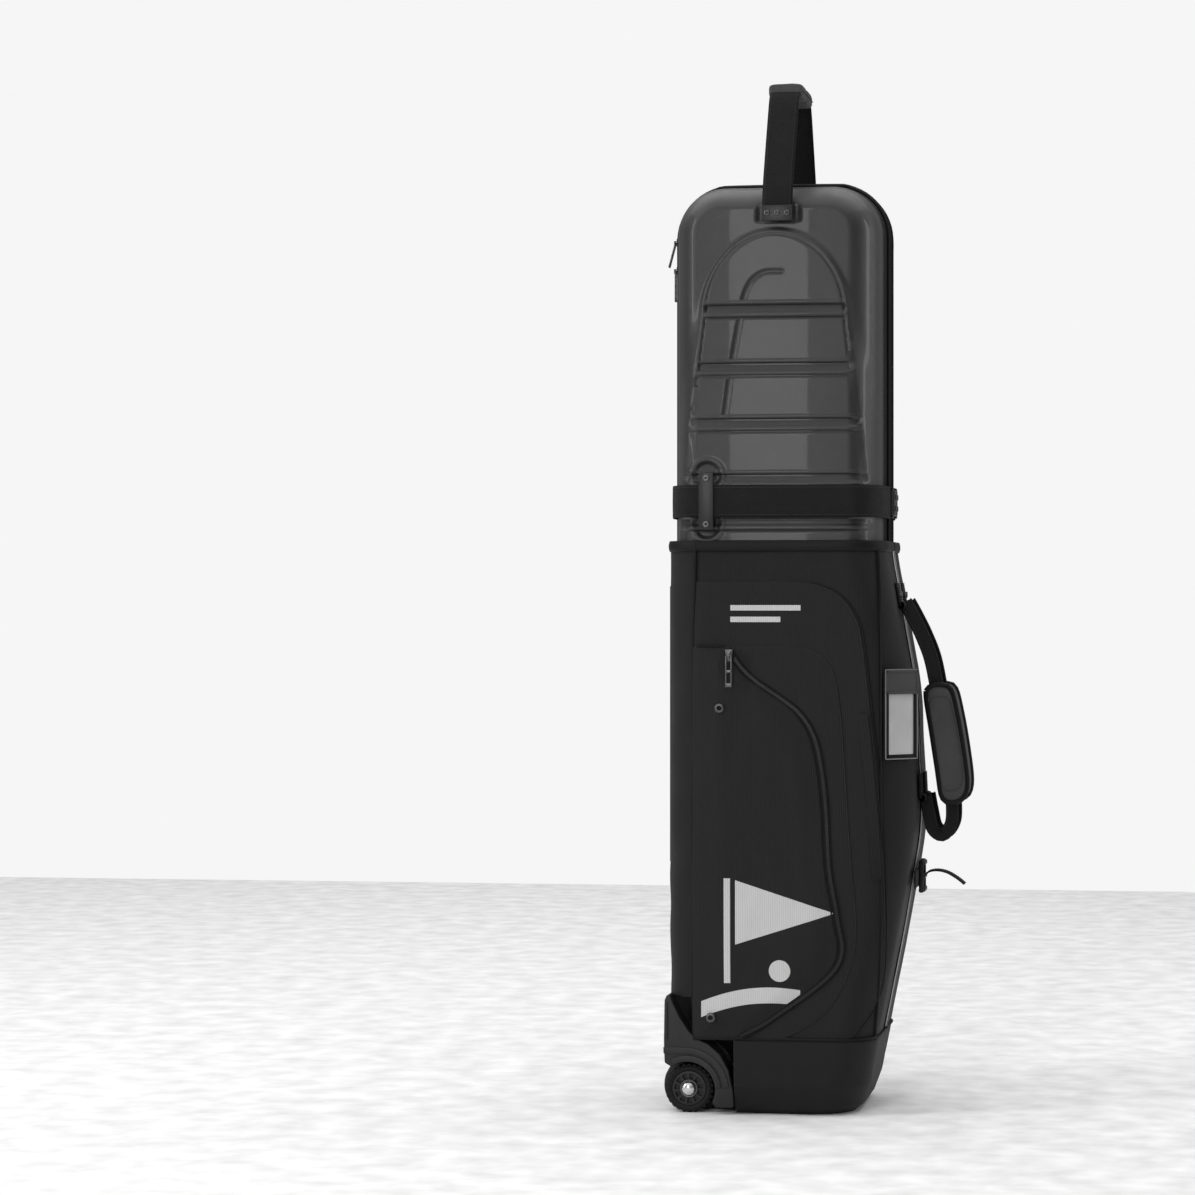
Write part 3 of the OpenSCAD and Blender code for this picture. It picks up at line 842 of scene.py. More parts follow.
def layer_out(edge, top, height):
    def out(s, z):
        rim = min(edge(z) - s, top - z, z - BOOT_TOP + 4)
        return base_out(s, z) + height * rounded_edge(rim + 0.2, 5) + 0.8 * ease(rim / 60)
    return out


def pocket_out(s, z):
    rim = min(zip_edge(z) - s, s - SEAM_BACK - 3, 652 - z, z - 106)
    puff = ease(rim / 42) * (4.2 + wrinkle(s, z, 60, 2.2) + wrinkle(s, z + 300, 30, 0.9))
    return base_out(s, z) + 4.2 + 1.2 * rounded_edge(rim, 5) + puff - 1.0


def side_panel(side, far):
    bm = sheet_piece(lambda z: SEAM_BACK, lambda z: SEAM_FRONT, BOOT_TOP, PANEL_TOP, 4, base_out)
    thicken(write(f"{side} side panel", bm, PLAIN, far=far, fold=not far,
                  replaces=[f"side_panel_{side}"]), 1.5)
    bm = sheet_piece(lambda z: SEAM_BACK, edge_1, BOOT_TOP, 741, 3, layer_out(edge_1, 741, 1.6))
    thicken(write(f"{side} upper panel", bm, PLAIN if far else PANEL, far=far,
                  fold=not far), 1.0)
    bm = sheet_piece(lambda z: SEAM_BACK, edge_2, BOOT_TOP + 2, 652, 3, layer_out(edge_2, 652, 3.4))
    thicken(write(f"{side} lower panel", bm, POCKET_PLAIN, far=far), 1.0)


PLAIN = cloth_finish("plain cloth", 0.007, rib=0.0021)
POCKET_PLAIN = cloth_finish("plain ribbed cloth", 0.008)
side_panel("near", False)
side_panel("far", True)
bm = sheet_piece(lambda z: SEAM_BACK + 3, zip_edge, 108, 650, 3, pocket_out)
thicken(write("side pocket", bm, POCKET, replaces=["pocket"]), 1.2)

# %% [markdown]
# ## Gussets, boot and binding
# The gussets close the back and the front. The back one is slack, so it is creased on the slant.
# The boot is a stiffer tub with a flat floor; it is cut away at the back corners for the wheels.
# Bisecting the mesh on the four planes of each wheel well keeps the cut straight.

# %% Gussets and boot
WELL_IN = -mm("housing_near")[1].y
WELL_FRONT = mm("housing_near")[1].x + 1
HOUSING_TOP = mm("housing_near")[1].z


def cut_well(bm, low_top, fin_top, fin_front):
    """Removes what lies inside the near wheel well, after cutting along its sides."""
    for co, no in (((WELL_FRONT, 0, 0), (1, 0, 0)), ((0, -WELL_IN, 0), (0, 1, 0)), ((0, 0, low_top), (0, 0, 1)),
                   ((0, 0, fin_top), (0, 0, 1)), ((fin_front, 0, 0), (1, 0, 0))):
        bmesh.ops.bisect_plane(bm, geom=bm.verts[:] + bm.edges[:] + bm.faces[:], dist=0.01, plane_co=co,
                               plane_no=no)
    gone = []
    for face in bm.faces:
        c = face.calc_center_median()
        if c.y < -WELL_IN and ((c.z < low_top and c.x < WELL_FRONT) or (c.z < fin_top and c.x < fin_front)):
            gone.append(face)
    bmesh.ops.delete(bm, geom=gone, context="FACES")


def slack(s, z):
    """Slanting creases of the loose back gusset."""
    d = (s + 190) * 0.9 - z * 0.5
    fold = math.sin(d / 19 + 2.2 * noise.noise(Vector((s / 60, z / 120, 0.4))))
    return 0.8 + 2.4 * fold * noise.noise(Vector((s / 90, z / 130, 8.0))) + wrinkle(s, z, 34, 1.4)


def front_out(s, z):
    return 0.6 + wrinkle(s, z, 80, 1.6) + wrinkle(s, z, 32, 0.7)


def gussets(side, far):
    bm = sheet_piece(lambda z: middle_of(z, False), lambda z: SEAM_BACK + 1, BOOT_TOP, PANEL_TOP, 4, slack)
    cut_well(bm, BOOT_TOP - 4, HOUSING_TOP - 3, -112)
    thicken(write(f"{side} back gusset", bm, GUSSET, far=far, fold=not far,
                  replaces=() if far else ["back_gusset"]), 1.5)
    bm = sheet_piece(lambda z: SEAM_FRONT - 1, lambda z: middle_of(z) - 13, BOOT_TOP, PANEL_TOP, 4, front_out)
    thicken(write(f"{side} front gusset", bm, PLAIN, far=far, fold=not far,
                  replaces=() if far else ["front_gusset"]), 1.5)


SOLE_Z = 0.3


def boot_half():
    def out(s, z):
        return 1.0 + 1.6 * rounded_edge(BOOT_TOP + 2 - z, 6) + wrinkle(s, z, 60, 1.0) * ease(z / 30)
    bm = sheet_piece(lambda z: middle_of(z, False), middle_of, 2, BOOT_TOP + 2, 3.5, out)
    edge = [e for e in bm.edges if e.is_boundary and all(v.co.z < 3 for v in e.verts)]
    for shrink in (0.985, 0.9, 0.55, 0.12):
        made = bmesh.ops.extrude_edge_only(bm, edges=edge)["geom"]
        for vert in [g for g in made if isinstance(g, bmesh.types.BMVert)]:
            vert.co = Vector((vert.co.x * shrink, vert.co.y * shrink if vert.co.y < -1 else vert.co.y, SOLE_Z))
        edge = [g for g in made if isinstance(g, bmesh.types.BMEdge)]
        edge = [e for e in edge if e.is_boundary and all(abs(v.co.z - SOLE_Z) < 0.01 for v in e.verts)]
    cut_well(bm, BOOT_TOP + 10, BOOT_TOP + 12, WELL_FRONT)
    return bm


for side, far in (("near", False), ("far", True)):
    gussets(side, far)
    thicken(write(f"{side} boot", boot_half(), BOOT, far=far,
                  replaces=() if far else ["boot"]), 2.0)

# %% [markdown]
# ## Piping, seams and zips on the body
# Piping is a cord sewn into a seam, so it is a round tube half sunk in the cloth. Stitch lines are
# rows of short raised threads. The pocket zip is a dark welted tape whose coil follows the curve.

# %% Body trim


def stitches(name, points, outward, pitch=4.2, far=False, fold=False, body="root", radius=0.45):
    """A row of short threads that sit on the cloth."""
    bm = bmesh.new()
    for point, ahead, out, side in frames(along(points, pitch), outward):
        made = bmesh.ops.create_cube(bm, size=1)["verts"]
        for vert in made:
            c = vert.co
            vert.co = (point + ahead * (c.x * pitch * 0.62) + side * (c.y * radius * 2)
                       + out * (c.z * radius * 1.6))
    bmesh.ops.recalc_face_normals(bm, faces=bm.faces)
    return write(name, bm, THREAD, body, (), far, fold=fold)


def lift_line(edge, low, high, inset, out, step=9):
    """Points along a seam edge, inset from it, proud of the cloth by out(s, z)."""
    count = round((high - low) / step)
    points = []
    for k in range(count + 1):
        z = low + (high - low) * k / count
        s = edge(z) - inset
        points.append(place(s, z, out(s, z) + 0.3))
    return points


def body_trim(side, far):
    back = [place(SEAM_BACK + 1.5 * math.sin(z / 38), z, base_out(SEAM_BACK, z) + 1.2)
            for z in range(BOOT_TOP, int(PANEL_TOP), 8)]
    write(f"{side} back piping", cord_tube(along(back, 8), 2.6, outward_at), PIPING, far=far,
          fold=not far)
    front = [place(SEAM_FRONT, z, 1.5) for z in range(BOOT_TOP, int(PANEL_TOP), 10)]
    write(f"{side} front piping", cord_tube(along(front, 10), 2.0, outward_at), PIPING, far=far,
          fold=not far)
    low = [place(s, BOOT_TOP + 3, 2.4) for s in range(-52, int(middle_of(BOOT_TOP)), 9)]
    write(f"{side} boot piping", cord_tube(along(low, 9), 2.2, outward_at), PIPING, far=far)
    seam = lift_line(edge_1, BOOT_TOP + 10, 736, 3.5, layer_out(edge_1, 741, 1.6))
    stitches(f"{side} upper seam thread", seam, outward_at, far=far, fold=not far)
    cord = lift_line(edge_1, BOOT_TOP + 6, 738, -0.6, layer_out(edge_1, 741, 0.6))
    bm = cord_tube(along(cord, 7), 1.5, outward_at)
    write(f"{side} upper seam cord", bm, PIPING, far=far, fold=not far)
    cord = lift_line(edge_2, BOOT_TOP + 6, 650, -0.6, layer_out(edge_2, 652, 2.0))
    bm = cord_tube(along(cord, 7), 1.5, outward_at)
    write(f"{side} lower seam cord", bm, PIPING, far=far)
    seam = lift_line(edge_2, BOOT_TOP + 10, 648, 3.5, layer_out(edge_2, 652, 3.4))
    stitches(f"{side} lower seam thread", seam, outward_at, far=far)
    strip = [place(edge_1(z) - 12, z, base_out(edge_1(z), z) + 2.9) for z in range(330, 560, 6)]
    bm = ribbon(along(strip, 6), outward_at, 15, across=6)
    thicken(write(f"{side} ribbed strip", bm, LADDER, far=far), 1.0)


body_trim("near", False)
body_trim("far", True)

zip_points = [place(zip_edge(z) + 2.5, z, base_out(zip_edge(z), z) + 4.4) for z in range(112, 648, 6)]
welt = ribbon(along(zip_points, 6), outward_at, 9, crown=0.8, across=6)
thicken(write("pocket zip tape", welt, TAPE_DARK), 1.0)
teeth([p + Vector((0, -1.4, 0)) for p in zip_points[::3]], outward_at, 4.0, 2.4, name="pocket zip coil")
for shift in (-5.0, 6.5):
    line = [place(zip_edge(z) + shift, z, base_out(zip_edge(z), z) + 4.6) for z in range(114, 646, 6)]
    bm = cord_tube(along(line, 7), 1.1, outward_at)
    write(f"pocket zip cord {int(shift) + 6}", bm, PIPING)
top = [place(s, 651, base_out(s, 651) + 4.0) for s in range(-104, -64, 6)]
write("pocket top cord", cord_tube(along(top, 6), 1.6, outward_at), PIPING)

# %% Main zip on the body and the rim binding


def front_line(y, low, high, lift, step=10):
    return [Vector((section(z)[1] + lift, y, z)) for z in range(low, int(high), step)]


for side, far in (("near", False), ("far", True)):
    line = front_line(-6.8, 112, PANEL_TOP, 2.0)
    tape = write(f"{side} front zip tape", ribbon(along(line, 8), (1, 0, 0), 12.6, across=3), TAPE, far=far,
                 fold=not far, replaces=() if far else ["zip_front"])
    thicken(tape, 0.9, 0)
    bm = bmesh.new()
    for point, ahead, out, across in frames(along(front_line(-1.9, 112, PANEL_TOP, 2.8), 2.6), (1, 0, 0)):
        for vert in bmesh.ops.create_cube(bm, size=1)["verts"]:
            c = vert.co
            vert.co = point + across * (c.x * 3.0) + ahead * (c.y * 1.3) + out * (c.z * 1.7)
    write(f"{side} front zip teeth", bm, TEETH, far=far, fold=not far)
    first, last = int(middle_of(PANEL_TOP, False)), int(middle_of(PANEL_TOP))
    rim = [place(s, PANEL_TOP - 5, 1.4) for s in range(first, last, 8)]
    bm = ribbon(along(rim, 8), outward_at, 14, crown=1.6, across=8)
    piece = write(f"{side} rim binding", bm, PIPING, far=far, fold=not far,
                  replaces=() if far else ["rim_binding"])
    thicken(piece, 1.2)
    rim = [p + Vector((0, 0, 5.6)) for p in rim]
    write(f"{side} rim cord", cord_tube(along(rim, 8), 2.0, outward_at), PIPING, "root" if far else "near_half",
          far=far)

# %% [markdown]
# ## Webbing, handles and buckles
# Webbing is a crowned ribbon with a wall and a stitched edge on both sides. The belt hugs the tray,
# so its path is the tray's own section at belt height. The top handle is two straps, one sewn to
# each half, under a padded wrap that closes in the middle.

# %% Belt
BELT_LOW, BELT_HIGH = mm("belt_near")
BELT_Z = (BELT_LOW.z + BELT_HIGH.z) / 2
BELT_W = BELT_HIGH.z - BELT_LOW.z


def belt_path():
    """Round the near half at belt height, from the back of the zip to the buckle."""
    points = [Vector((-HALF_D - 3.4, y, BELT_Z)) for y in (-0.8, -18, -STRAIGHT)]
    for a in range(12, 91, 13):
        points.append(Vector((-HALF_D - 1.6 + DISH * (1 - math.cos(math.radians(a))),
                              -STRAIGHT - (FACE_Y + 2.0 - STRAIGHT) * math.sin(math.radians(a)), BELT_Z)))
    points += [Vector((x, -FACE_Y - 2.6 + abs(x) / 60, BELT_Z)) for x in (-60, 0, 60)]
    for a in range(90, 11, -13):
        points.append(Vector((HALF_D + 1.6 - DISH * (1 - math.cos(math.radians(a))),
                              -STRAIGHT - (FACE_Y + 2.0 - STRAIGHT) * math.sin(math.radians(a)), BELT_Z)))
    return points + [Vector((HALF_D + 2.4, y, BELT_Z)) for y in (-STRAIGHT, -24)]


def from_axis(point):
    return Vector((point.x * 0.8, point.y, 0)).normalized()


def strap(name, points, outward, width, body, replaces=(), far=False, thickness=2.0, step=5, fold=False):
    """A webbing strap with a row of thread near each edge."""
    bm = ribbon(along(points, step), outward, width, crown=0.4, across=8)
    piece = write(name, bm, WEBBING, body, replaces, far, fold=fold)
    thicken(piece, thickness, 0)
    rails = frames(along(points, step), outward)
    for number, share in enumerate((-0.42, 0.42)):
        row = [p + across * (width * share) + out * (thickness / 2 + 0.2) for p, ahead, out, across in rails]
        stitches(f"{name} thread {number + 1}", row, outward, 3.4, far, fold, body, 0.35)
    return piece


for side, body, far in (("near", "near_half", False), ("far", "root", True)):
    strap(f"{side} belt", belt_path(), from_axis, BELT_W, body, [f"belt_{side}"], far, step=7)

# %% Buckle and keepers
BUCKLE_LOW, BUCKLE_HIGH = mm("buckle_plug")


def buckle_half(name, body, far, node):
    low, high = BUCKLE_LOW, BUCKLE_HIGH
    middle = (low.z + high.z) / 2
    plate = block((low.x, low.y + 8, low.z + 3), (high.x - 1.5, high.y, high.z - 3), 2.5, 3)
    rib_1 = block((high.x - 3, low.y + 12, middle - 12), (high.x, high.y - 2, middle - 4), 1.2)
    rib_2 = block((high.x - 3, low.y + 12, middle + 4), (high.x, high.y - 2, middle + 12), 1.2)
    bar_1 = block((low.x, low.y, low.z), (high.x - 3, low.y + 5, high.z), 1.5)
    side_1 = block((low.x, low.y, low.z), (high.x - 3, low.y + 14, low.z + 5), 1.5)
    side_2 = block((low.x, low.y, high.z - 5), (high.x - 3, low.y + 14, high.z), 1.5)
    write(name, join(plate, rib_1, rib_2, bar_1, side_1, side_2), BUCKLE, body, [node], far)


buckle_half("buckle plug half", "near_half", False, "buckle_plug")
buckle_half("buckle socket half", "root", True, "buckle_socket")


def screw_head(x, y, z, radius, height=1.8):
    """A pan head with a recess, facing the near side."""
    profile = [(0, 0.5), (radius * 0.3, 0.5), (radius * 0.36, -height * 0.8), (radius * 0.62, -height),
               (radius * 0.9, -height * 0.7), (radius, 0), (radius, 0.4)]
    return turned(profile, (x, y, z), steps=20)


def plate_with_screws(node, screws_node, body, far, heads, radius):
    low, high = mm(node.replace("far", "near"))
    plate = block(low, high, 1.1, 3)
    write(node.replace("_", " ") + " plate", plate, BUCKLE, body, [node], far)
    bm = join(*[screw_head(x, low.y - 0.1, z, radius) for x, z in heads])
    write(screws_node.replace("_", " ") + " heads", bm, DARK_METAL, body, [screws_node], far)


PLATE_LOW, PLATE_HIGH = mm("anchor_plate_near")
PLATE_Z = (PLATE_LOW.z + PLATE_HIGH.z) / 2
for side, body, far in (("near", "near_half", False), ("far", "root", True)):
    plate_with_screws(f"keeper_{side}", f"keeper_screws_{side}", body, far,
                      [(KEEPER_X, BELT_Z - 32), (KEEPER_X, BELT_Z + 32)], 5)
    plate_with_screws(f"anchor_plate_{side}", f"anchor_screws_{side}", body, far,
                      [(HANDLE_X + dx, PLATE_Z) for dx in (-14, 0, 14)], 4.2)

# %% Top handle
GRIP_LOW, GRIP_HIGH = mm("handle_grip_near")
STRAP_TOP = mm("handle_strap_near")[1].z
HANDLE_W = mm("handle_strap_near")[1].x - mm("handle_strap_near")[0].x
HANDLE_PATH = [(-1, STRAP_TOP - 1), (-30, STRAP_TOP - 1), (-50, STRAP_TOP - 3), (-66, STRAP_TOP - 14),
               (-88, 1376), (-116, 1318), (-129, 1288), (-134.5, 1266), (-135.0, 1252)]


def handle_out(point):
    """Away from the opening of the handle where it is free, and away from the shell below."""
    away = Vector((0, point.y, point.z - 1290)) if point.z > 1300 else Vector((0, -1, 0.1))
    return away.normalized()


def padded_wrap(low, high):
    """A soft wrap: a subdivided block pulled in at the middle of each side and crowned on its faces."""
    bm = bmesh.new()
    bmesh.ops.create_cube(bm, size=1)
    bmesh.ops.subdivide_edges(bm, edges=bm.edges[:], cuts=7, use_grid_fill=True)
    size, middle = Vector(high) - Vector(low), (Vector(high) + Vector(low)) / 2
    for vert in bm.verts:
        c = vert.co * 2
        round_off = 1 - 0.10 * (abs(c.x) * abs(c.z)) ** 4 - 0.06 * (abs(c.y) * abs(c.z)) ** 4
        crown = 1 - 0.14 * (c.y * c.y) ** 2
        vert.co = middle + Vector((c.x * size.x / 2 * round_off, c.y * size.y / 2,
                                   c.z * size.z / 2 * crown * round_off))
        vert.co += vert.co.normalized() * noise.noise(vert.co / 14) * 0.8
    bmesh.ops.recalc_face_normals(bm, faces=bm.faces)
    return bm


for side, body, far in (("near", "near_half", False), ("far", "root", True)):
    line = [Vector((HANDLE_X, y, z)) for y, z in HANDLE_PATH]
    strap(f"{side} handle strap", line, handle_out, HANDLE_W, body, [f"handle_strap_{side}"], far, 2.6)
    bm = padded_wrap(GRIP_LOW + Vector((1, 1, 1)), GRIP_HIGH - Vector((1, 0, 1)))
    piece = write(f"{side} handle wrap", bm, GRIP, body, [f"handle_grip_{side}"], far, sharp=80)
    smooth = piece.modifiers.new("smooth", "SUBSURF")
    smooth.levels = smooth.render_levels = 1
    edge = [Vector((HANDLE_X + 24.6, GRIP_LOW.y + 2 + t, GRIP_LOW.z + 12)) for t in (0, 25, 53)]
    stitches(f"{side} handle wrap thread", edge, (1, 0, 0), 3.4, far, False, body)

# %% [markdown]
# ## Sliders and pulls
# A slider is a shaped metal body with a bridge over it, and its pull is an open link that swings on
# the bridge. Both are drawn once, facing outwards, and set down on the zip they belong to.

# %% Sliders


def set_down(bm, origin, side, out):
    """Moves a bmesh drawn with x across, y inwards and z up to a place that faces another way."""
    side, out = Vector(side), Vector(out)
    for vert in bm.verts:
        c = vert.co.copy()
        vert.co = Vector(origin) + side * c.x - out * c.y + Vector((0, 0, c.z))
    bmesh.ops.recalc_face_normals(bm, faces=bm.faces)
    return bm


PIN = 5.8


def slider_body():
    base = block((-5.5, -2.4, -8.5), (5.5, 0, 8.5), 1.1, 3)
    for vert in base.verts:
        vert.co.x *= 0.72 if vert.co.z < -2 else 1.0
    crest = block((-3.2, -4.2, -5.5), (3.2, -2.0, 6.5), 0.9, 3)
    bridge = join(block((-1.5, -8.2, -3.4), (1.5, -6.9, 3.4), 0.5),
                  block((-1.5, -7.6, 2.2), (1.5, -3.2, 3.4), 0.5),
                  block((-1.5, -7.6, -3.4), (1.5, -3.2, -2.2), 0.5))
    return join(base, crest, bridge)


def pull_link(length, tilt):
    """Two rails, a cross pin and a rounded end tab with a long slot."""
    end = -length
    parts = [block((-4.6, -1, end + 4), (-2.6, 1, 1.6), 0.6), block((2.6, -1, end + 4), (4.6, 1, 1.6), 0.6),
             block((-4.6, -1, -0.9), (4.6, 1, 1.6), 0.6), block((-5, -1.1, end), (5, 1.1, end + 6), 1.0, 3),
             block((-4.6, -0.9, end * 0.5 - 2), (4.6, 0.9, end * 0.5 + 2), 0.6)]
    bm = join(*parts)
    turn = math.radians(tilt)
    for vert in bm.verts:
        y, z = vert.co.y, vert.co.z
        vert.co.y = y * math.cos(turn) + z * math.sin(turn) - PIN
        vert.co.z = z * math.cos(turn) - y * math.sin(turn)
    return bm


UPPER_LOW, UPPER_HIGH = mm("main_slider_upper")
LOWER_LOW, LOWER_HIGH = mm("main_slider_lower")
POCKET_LOW, POCKET_HIGH = mm("pocket_slider")
BACK = ((0, -1, 0), (-1, 0, 0))
UPPER = (UPPER_HIGH.x, 0, (UPPER_LOW.z + UPPER_HIGH.z) / 2)
LOWER = (LOWER_HIGH.x, 0, (LOWER_LOW.z + LOWER_HIGH.z) / 2)
ON_POCKET = ((POCKET_LOW.x + POCKET_HIGH.x) / 2, POCKET_HIGH.y, (POCKET_LOW.z + POCKET_HIGH.z) / 2)
write("upper zip slider", set_down(slider_body(), UPPER, *BACK), DARK_METAL, "root",
      ["main_slider_upper"])
write("lower zip slider", set_down(slider_body(), LOWER, *BACK), DARK_METAL, "lower_slider",
      ["main_slider_lower"])
write("upper zip pull", set_down(pull_link(36, 15), UPPER, *BACK), DARK_METAL, "upper_pull",
      ["main_pull_upper"])
write("lower zip pull", set_down(pull_link(44, 0), LOWER, *BACK), DARK_METAL, "lower_pull",
      ["main_pull_lower"])
SIDEWARD = ((1, 0, 0), (0, -1, 0))
write("pocket zip slider", set_down(slider_body(), ON_POCKET, *SIDEWARD), DARK_METAL, "pocket_slide",
      ["pocket_slider"])
write("pocket zip pull", set_down(pull_link(44, 0), ON_POCKET, *SIDEWARD), DARK_METAL, "pocket_tab",
      ["pocket_pull"])


def eyelet(x, z, y):
    profile = [(3.0, 2.2), (3.0, -1.0), (3.8, -1.9), (5.2, -2.0), (6.4, -1.2), (7.0, 0.2), (7.0, 1.0),
               (3.0, 2.2)]
    return turned(profile, (x, y, z), steps=32)


EYELET_Y = mm("eyelets")[0].y + 1.6
write("pocket eyelets", join(eyelet(-72, 565, EYELET_Y), eyelet(-84, 137, EYELET_Y)), DARK_METAL, "root",
      ["eyelets"])

# %% [markdown]
# ## The front of the case
# The card window lies on the rounded front corner. The carry handle is a pair of webbings on each
# side, held by riveted patches and wrapped by one padded grip. A strap with a ladder buckle crosses
# the front lower down, and its free tail curls away.

# %% Card window
WINDOW_PLACE = Vector((137, -78, 494))
CORNER_SIDE = Vector((1, 1, 0)).normalized()
CORNER_OUT = Vector((1, -1, 0)).normalized()


def on_corner(bm):
    """From a flat drawing, x out from the corner, y across it and z up, to its place on the case."""
    for vert in bm.verts:
        c = vert.co.copy()
        vert.co = WINDOW_PLACE + CORNER_OUT * c.x + CORNER_SIDE * c.y + Vector((0, 0, c.z))
    return bm


def border(low, high, width, x0, x1, bevel):
    """Four bars round a rectangle that spans y and z."""
    (y0, z0), (y1, z1) = low, high
    return join(block((x0, y0, z0), (x1, y0 + width, z1), bevel),
                block((x0, y1 - width, z0), (x1, y1, z1), bevel),
                block((x0, y0, z0), (x1, y1, z0 + width), bevel),
                block((x0, y0, z1 - width), (x1, y1, z1), bevel))


write("card window frame", on_corner(join(block((56.4, -29, 0), (57.0, 29, 126), 0.25),
                                          border((-29, 0), (29, 126), 7, 56.6, 58.9, 0.7))), PIPING, "root",
      ["id_frame"])
edging = border((-28.6, 1), (28.6, 125.4), 1.5, 58.7, 59.5, 0.3)
write("card window edge", on_corner(edging), TRIM, "root")
write("card window", on_corner(block((57.0, -22.4, 7.6), (57.6, 22.4, 92.4), 0.2)), CARD, "root")
flap = join(block((59.6, -28.4, 91), (60.8, 28.4, 124), 0.5),
            border((-28, 91.6), (28, 123.6), 3, 60.5, 61.4, 0.3))
write("card window flap", on_corner(flap), GRIP, "id_lid", ["id_flap"])

# %% Carry handle
HANDLE_Y = -29
CARRY_TOP = [(174, 712), (184, 694), (198, 666), (211, 632), (220, 588)]
PATCHES = ([(163, 738), (168.6, 707)], [(197.5, 437), (195.9, 470)])
PATCH_W = 34
CARRY_LOW = [(240, 440), (240, 404), (228, 385), (214, 392), (208, 414), (203, 440)]
GRIP_OUTLINE = [(204, 588), (212, 596), (228, 597), (240, 590), (249, 555), (257, 510), (263, 462), (260, 440),
                (250, 431), (234, 430), (226, 440), (220, 478), (212, 530), (205, 572)]


def beside(y, path):
    return [Vector((x, y, z)) for x, z in path]


for side, far in (("near", False), ("far", True)):
    strap(f"{side} carry strap", beside(HANDLE_Y, CARRY_TOP), (0.5, -1, 0.1), 21, "root",
          [f"carry_webbing_{side}"], far, 3.4, 5)
    strap(f"{side} carry loop", beside(HANDLE_Y, CARRY_LOW), (0.35, -1, 0), 18, "root", (), far, 3.4, 4)
    for number, path in enumerate(PATCHES):
        patch = beside(-33, path)
        strap(f"{side} carry patch {number + 1}", patch, (1, 0, 0), PATCH_W, "root",
              ["carry_anchors"] if (number == 0 and not far) else (), far, 3.2, 4)
        start = patch[0] if number else patch[1]
        roll = [start + Vector((2.2, t, 0)) for t in (-17, -8, 0, 8, 17)]
        bm = cord_tube(along(roll, 4), 5.2, (0, 0, 1), 12)
        write(f"{side} carry fold {number + 1}", bm, WEBBING_OBJ, "root", (), far)

RIVET_X, RIVET_Z = 169.2, 722
rivets = []
for y in (-43, -23, 23, 43):
    profile = [(0, -4.2), (1.5, -4.1), (3.0, -3.4), (4.2, -1.4), (4.4, 0), (4.4, 1), (0, 1)]
    rivets.append(turned(profile, (RIVET_X, y, RIVET_Z), axis="X", steps=24))
for bm in rivets:
    for vert in bm.verts:
        vert.co.x = 2 * RIVET_X - vert.co.x
    bmesh.ops.recalc_face_normals(bm, faces=bm.faces)
write("carry rivets", join(*rivets), DARK_METAL, "root", ["carry_rivets"])


def grip_ring(scale, y):
    middle = Vector((232, 0, 512))
    points = along([Vector((x, 0, z)) for x, z in GRIP_OUTLINE + GRIP_OUTLINE[:1]], 9)[:-1]
    return [middle + (p - middle) * scale + Vector((0, y, 0)) for p in points]


def padded_grip():
    """The grip's outline drawn out sideways, its ends drawn in and closed by a shallow dome."""
    half = [(-37.5, 0.60), (-40.5, 0.86), (-40.0, 0.97), (-33, 1.0), (-20, 0.985), (-7, 0.97)]
    rows = half + [(-y, scale) for y, scale in reversed(half)]
    bm = bmesh.new()
    loops = []
    for y, scale in rows:
        ring = [bm.verts.new(p) for p in grip_ring(scale, y)]
        loops.append([bm.edges.new((ring[k], ring[(k + 1) % len(ring)])) for k in range(len(ring))])
    for a, b in zip(loops, loops[1:]):
        bmesh.ops.bridge_loops(bm, edges=a + b)
    for loop, y in ((loops[0], -38.4), (loops[-1], 38.4)):
        face = bmesh.ops.contextual_create(bm, geom=loop)["faces"]
        centre = bmesh.ops.poke(bm, faces=face)["verts"]
        for vert in centre:
            vert.co.y = y
    bmesh.ops.recalc_face_normals(bm, faces=bm.faces)
    return bm


piece = write("padded grip", padded_grip(), GRIP, "root", ["carry_grip"], sharp=80)
smooth = piece.modifiers.new("smooth", "SUBSURF")
smooth.levels = smooth.render_levels = 1
for side, far in (("near", False), ("far", True)):
    ring = grip_ring(0.985, -38.2)
    bm = cord_tube(along(ring + ring[:1], 7), 3.6, (0, -1, 0))
    write(f"{side} grip piping", bm, PIPING, "root", (), far)
    ring = grip_ring(0.78, -40.9)
    stitches(f"{side} grip thread", ring + ring[:1], (0, -1, 0), 4.0, far)

# %% Compression strap
strap("compression strap", [Vector((191.6, y, 324.5)) for y in (-66, -30, 0, 30, 66)], (1, 0, 0), 25, "root",
      ["compression_strap"], thickness=2.0)
tail = [(200, 325), (206, 331), (218, 333), (232, 330), (246, 322), (256, 314)]
strap("compression strap tail", beside(0, tail), (0.25, 0, 1), 25, "root", thickness=2.0, step=3)
ladder = join(block((192.4, -19, 302), (199.5, -14, 348), 2.0, 3),
              block((192.4, 14, 302), (199.5, 19, 348), 2.0, 3),
              *[block((194, -16, z), (201.5, 16, z + 7), 2.0, 3) for z in (303, 321.5, 340)])
write("ladder buckle", ladder, BUCKLE, "root", ["ladder_buckle"])

# %% [markdown]
# ## The rolling end
# Each housing is a moulded bracket: a tall fin up the back, a ledge that follows the wheel and a foot
# in front of it. The tyre has lugs, the hub has pockets between its spokes, and a domed bolt holds it.

# %% Housings
WHEEL = Vector((-120, -98, 34))
WELL_R = 39
HOUSING_NEAR = mm("housing_near")


def wheel_arc(radius, first, last, step=9):
    count = max(2, round(abs(last - first) / step))
    angles = [math.radians(first + (last - first) * k / count) for k in range(count + 1)]
    return [(WHEEL.x + radius * math.cos(a), WHEEL.z + radius * math.sin(a)) for a in angles]


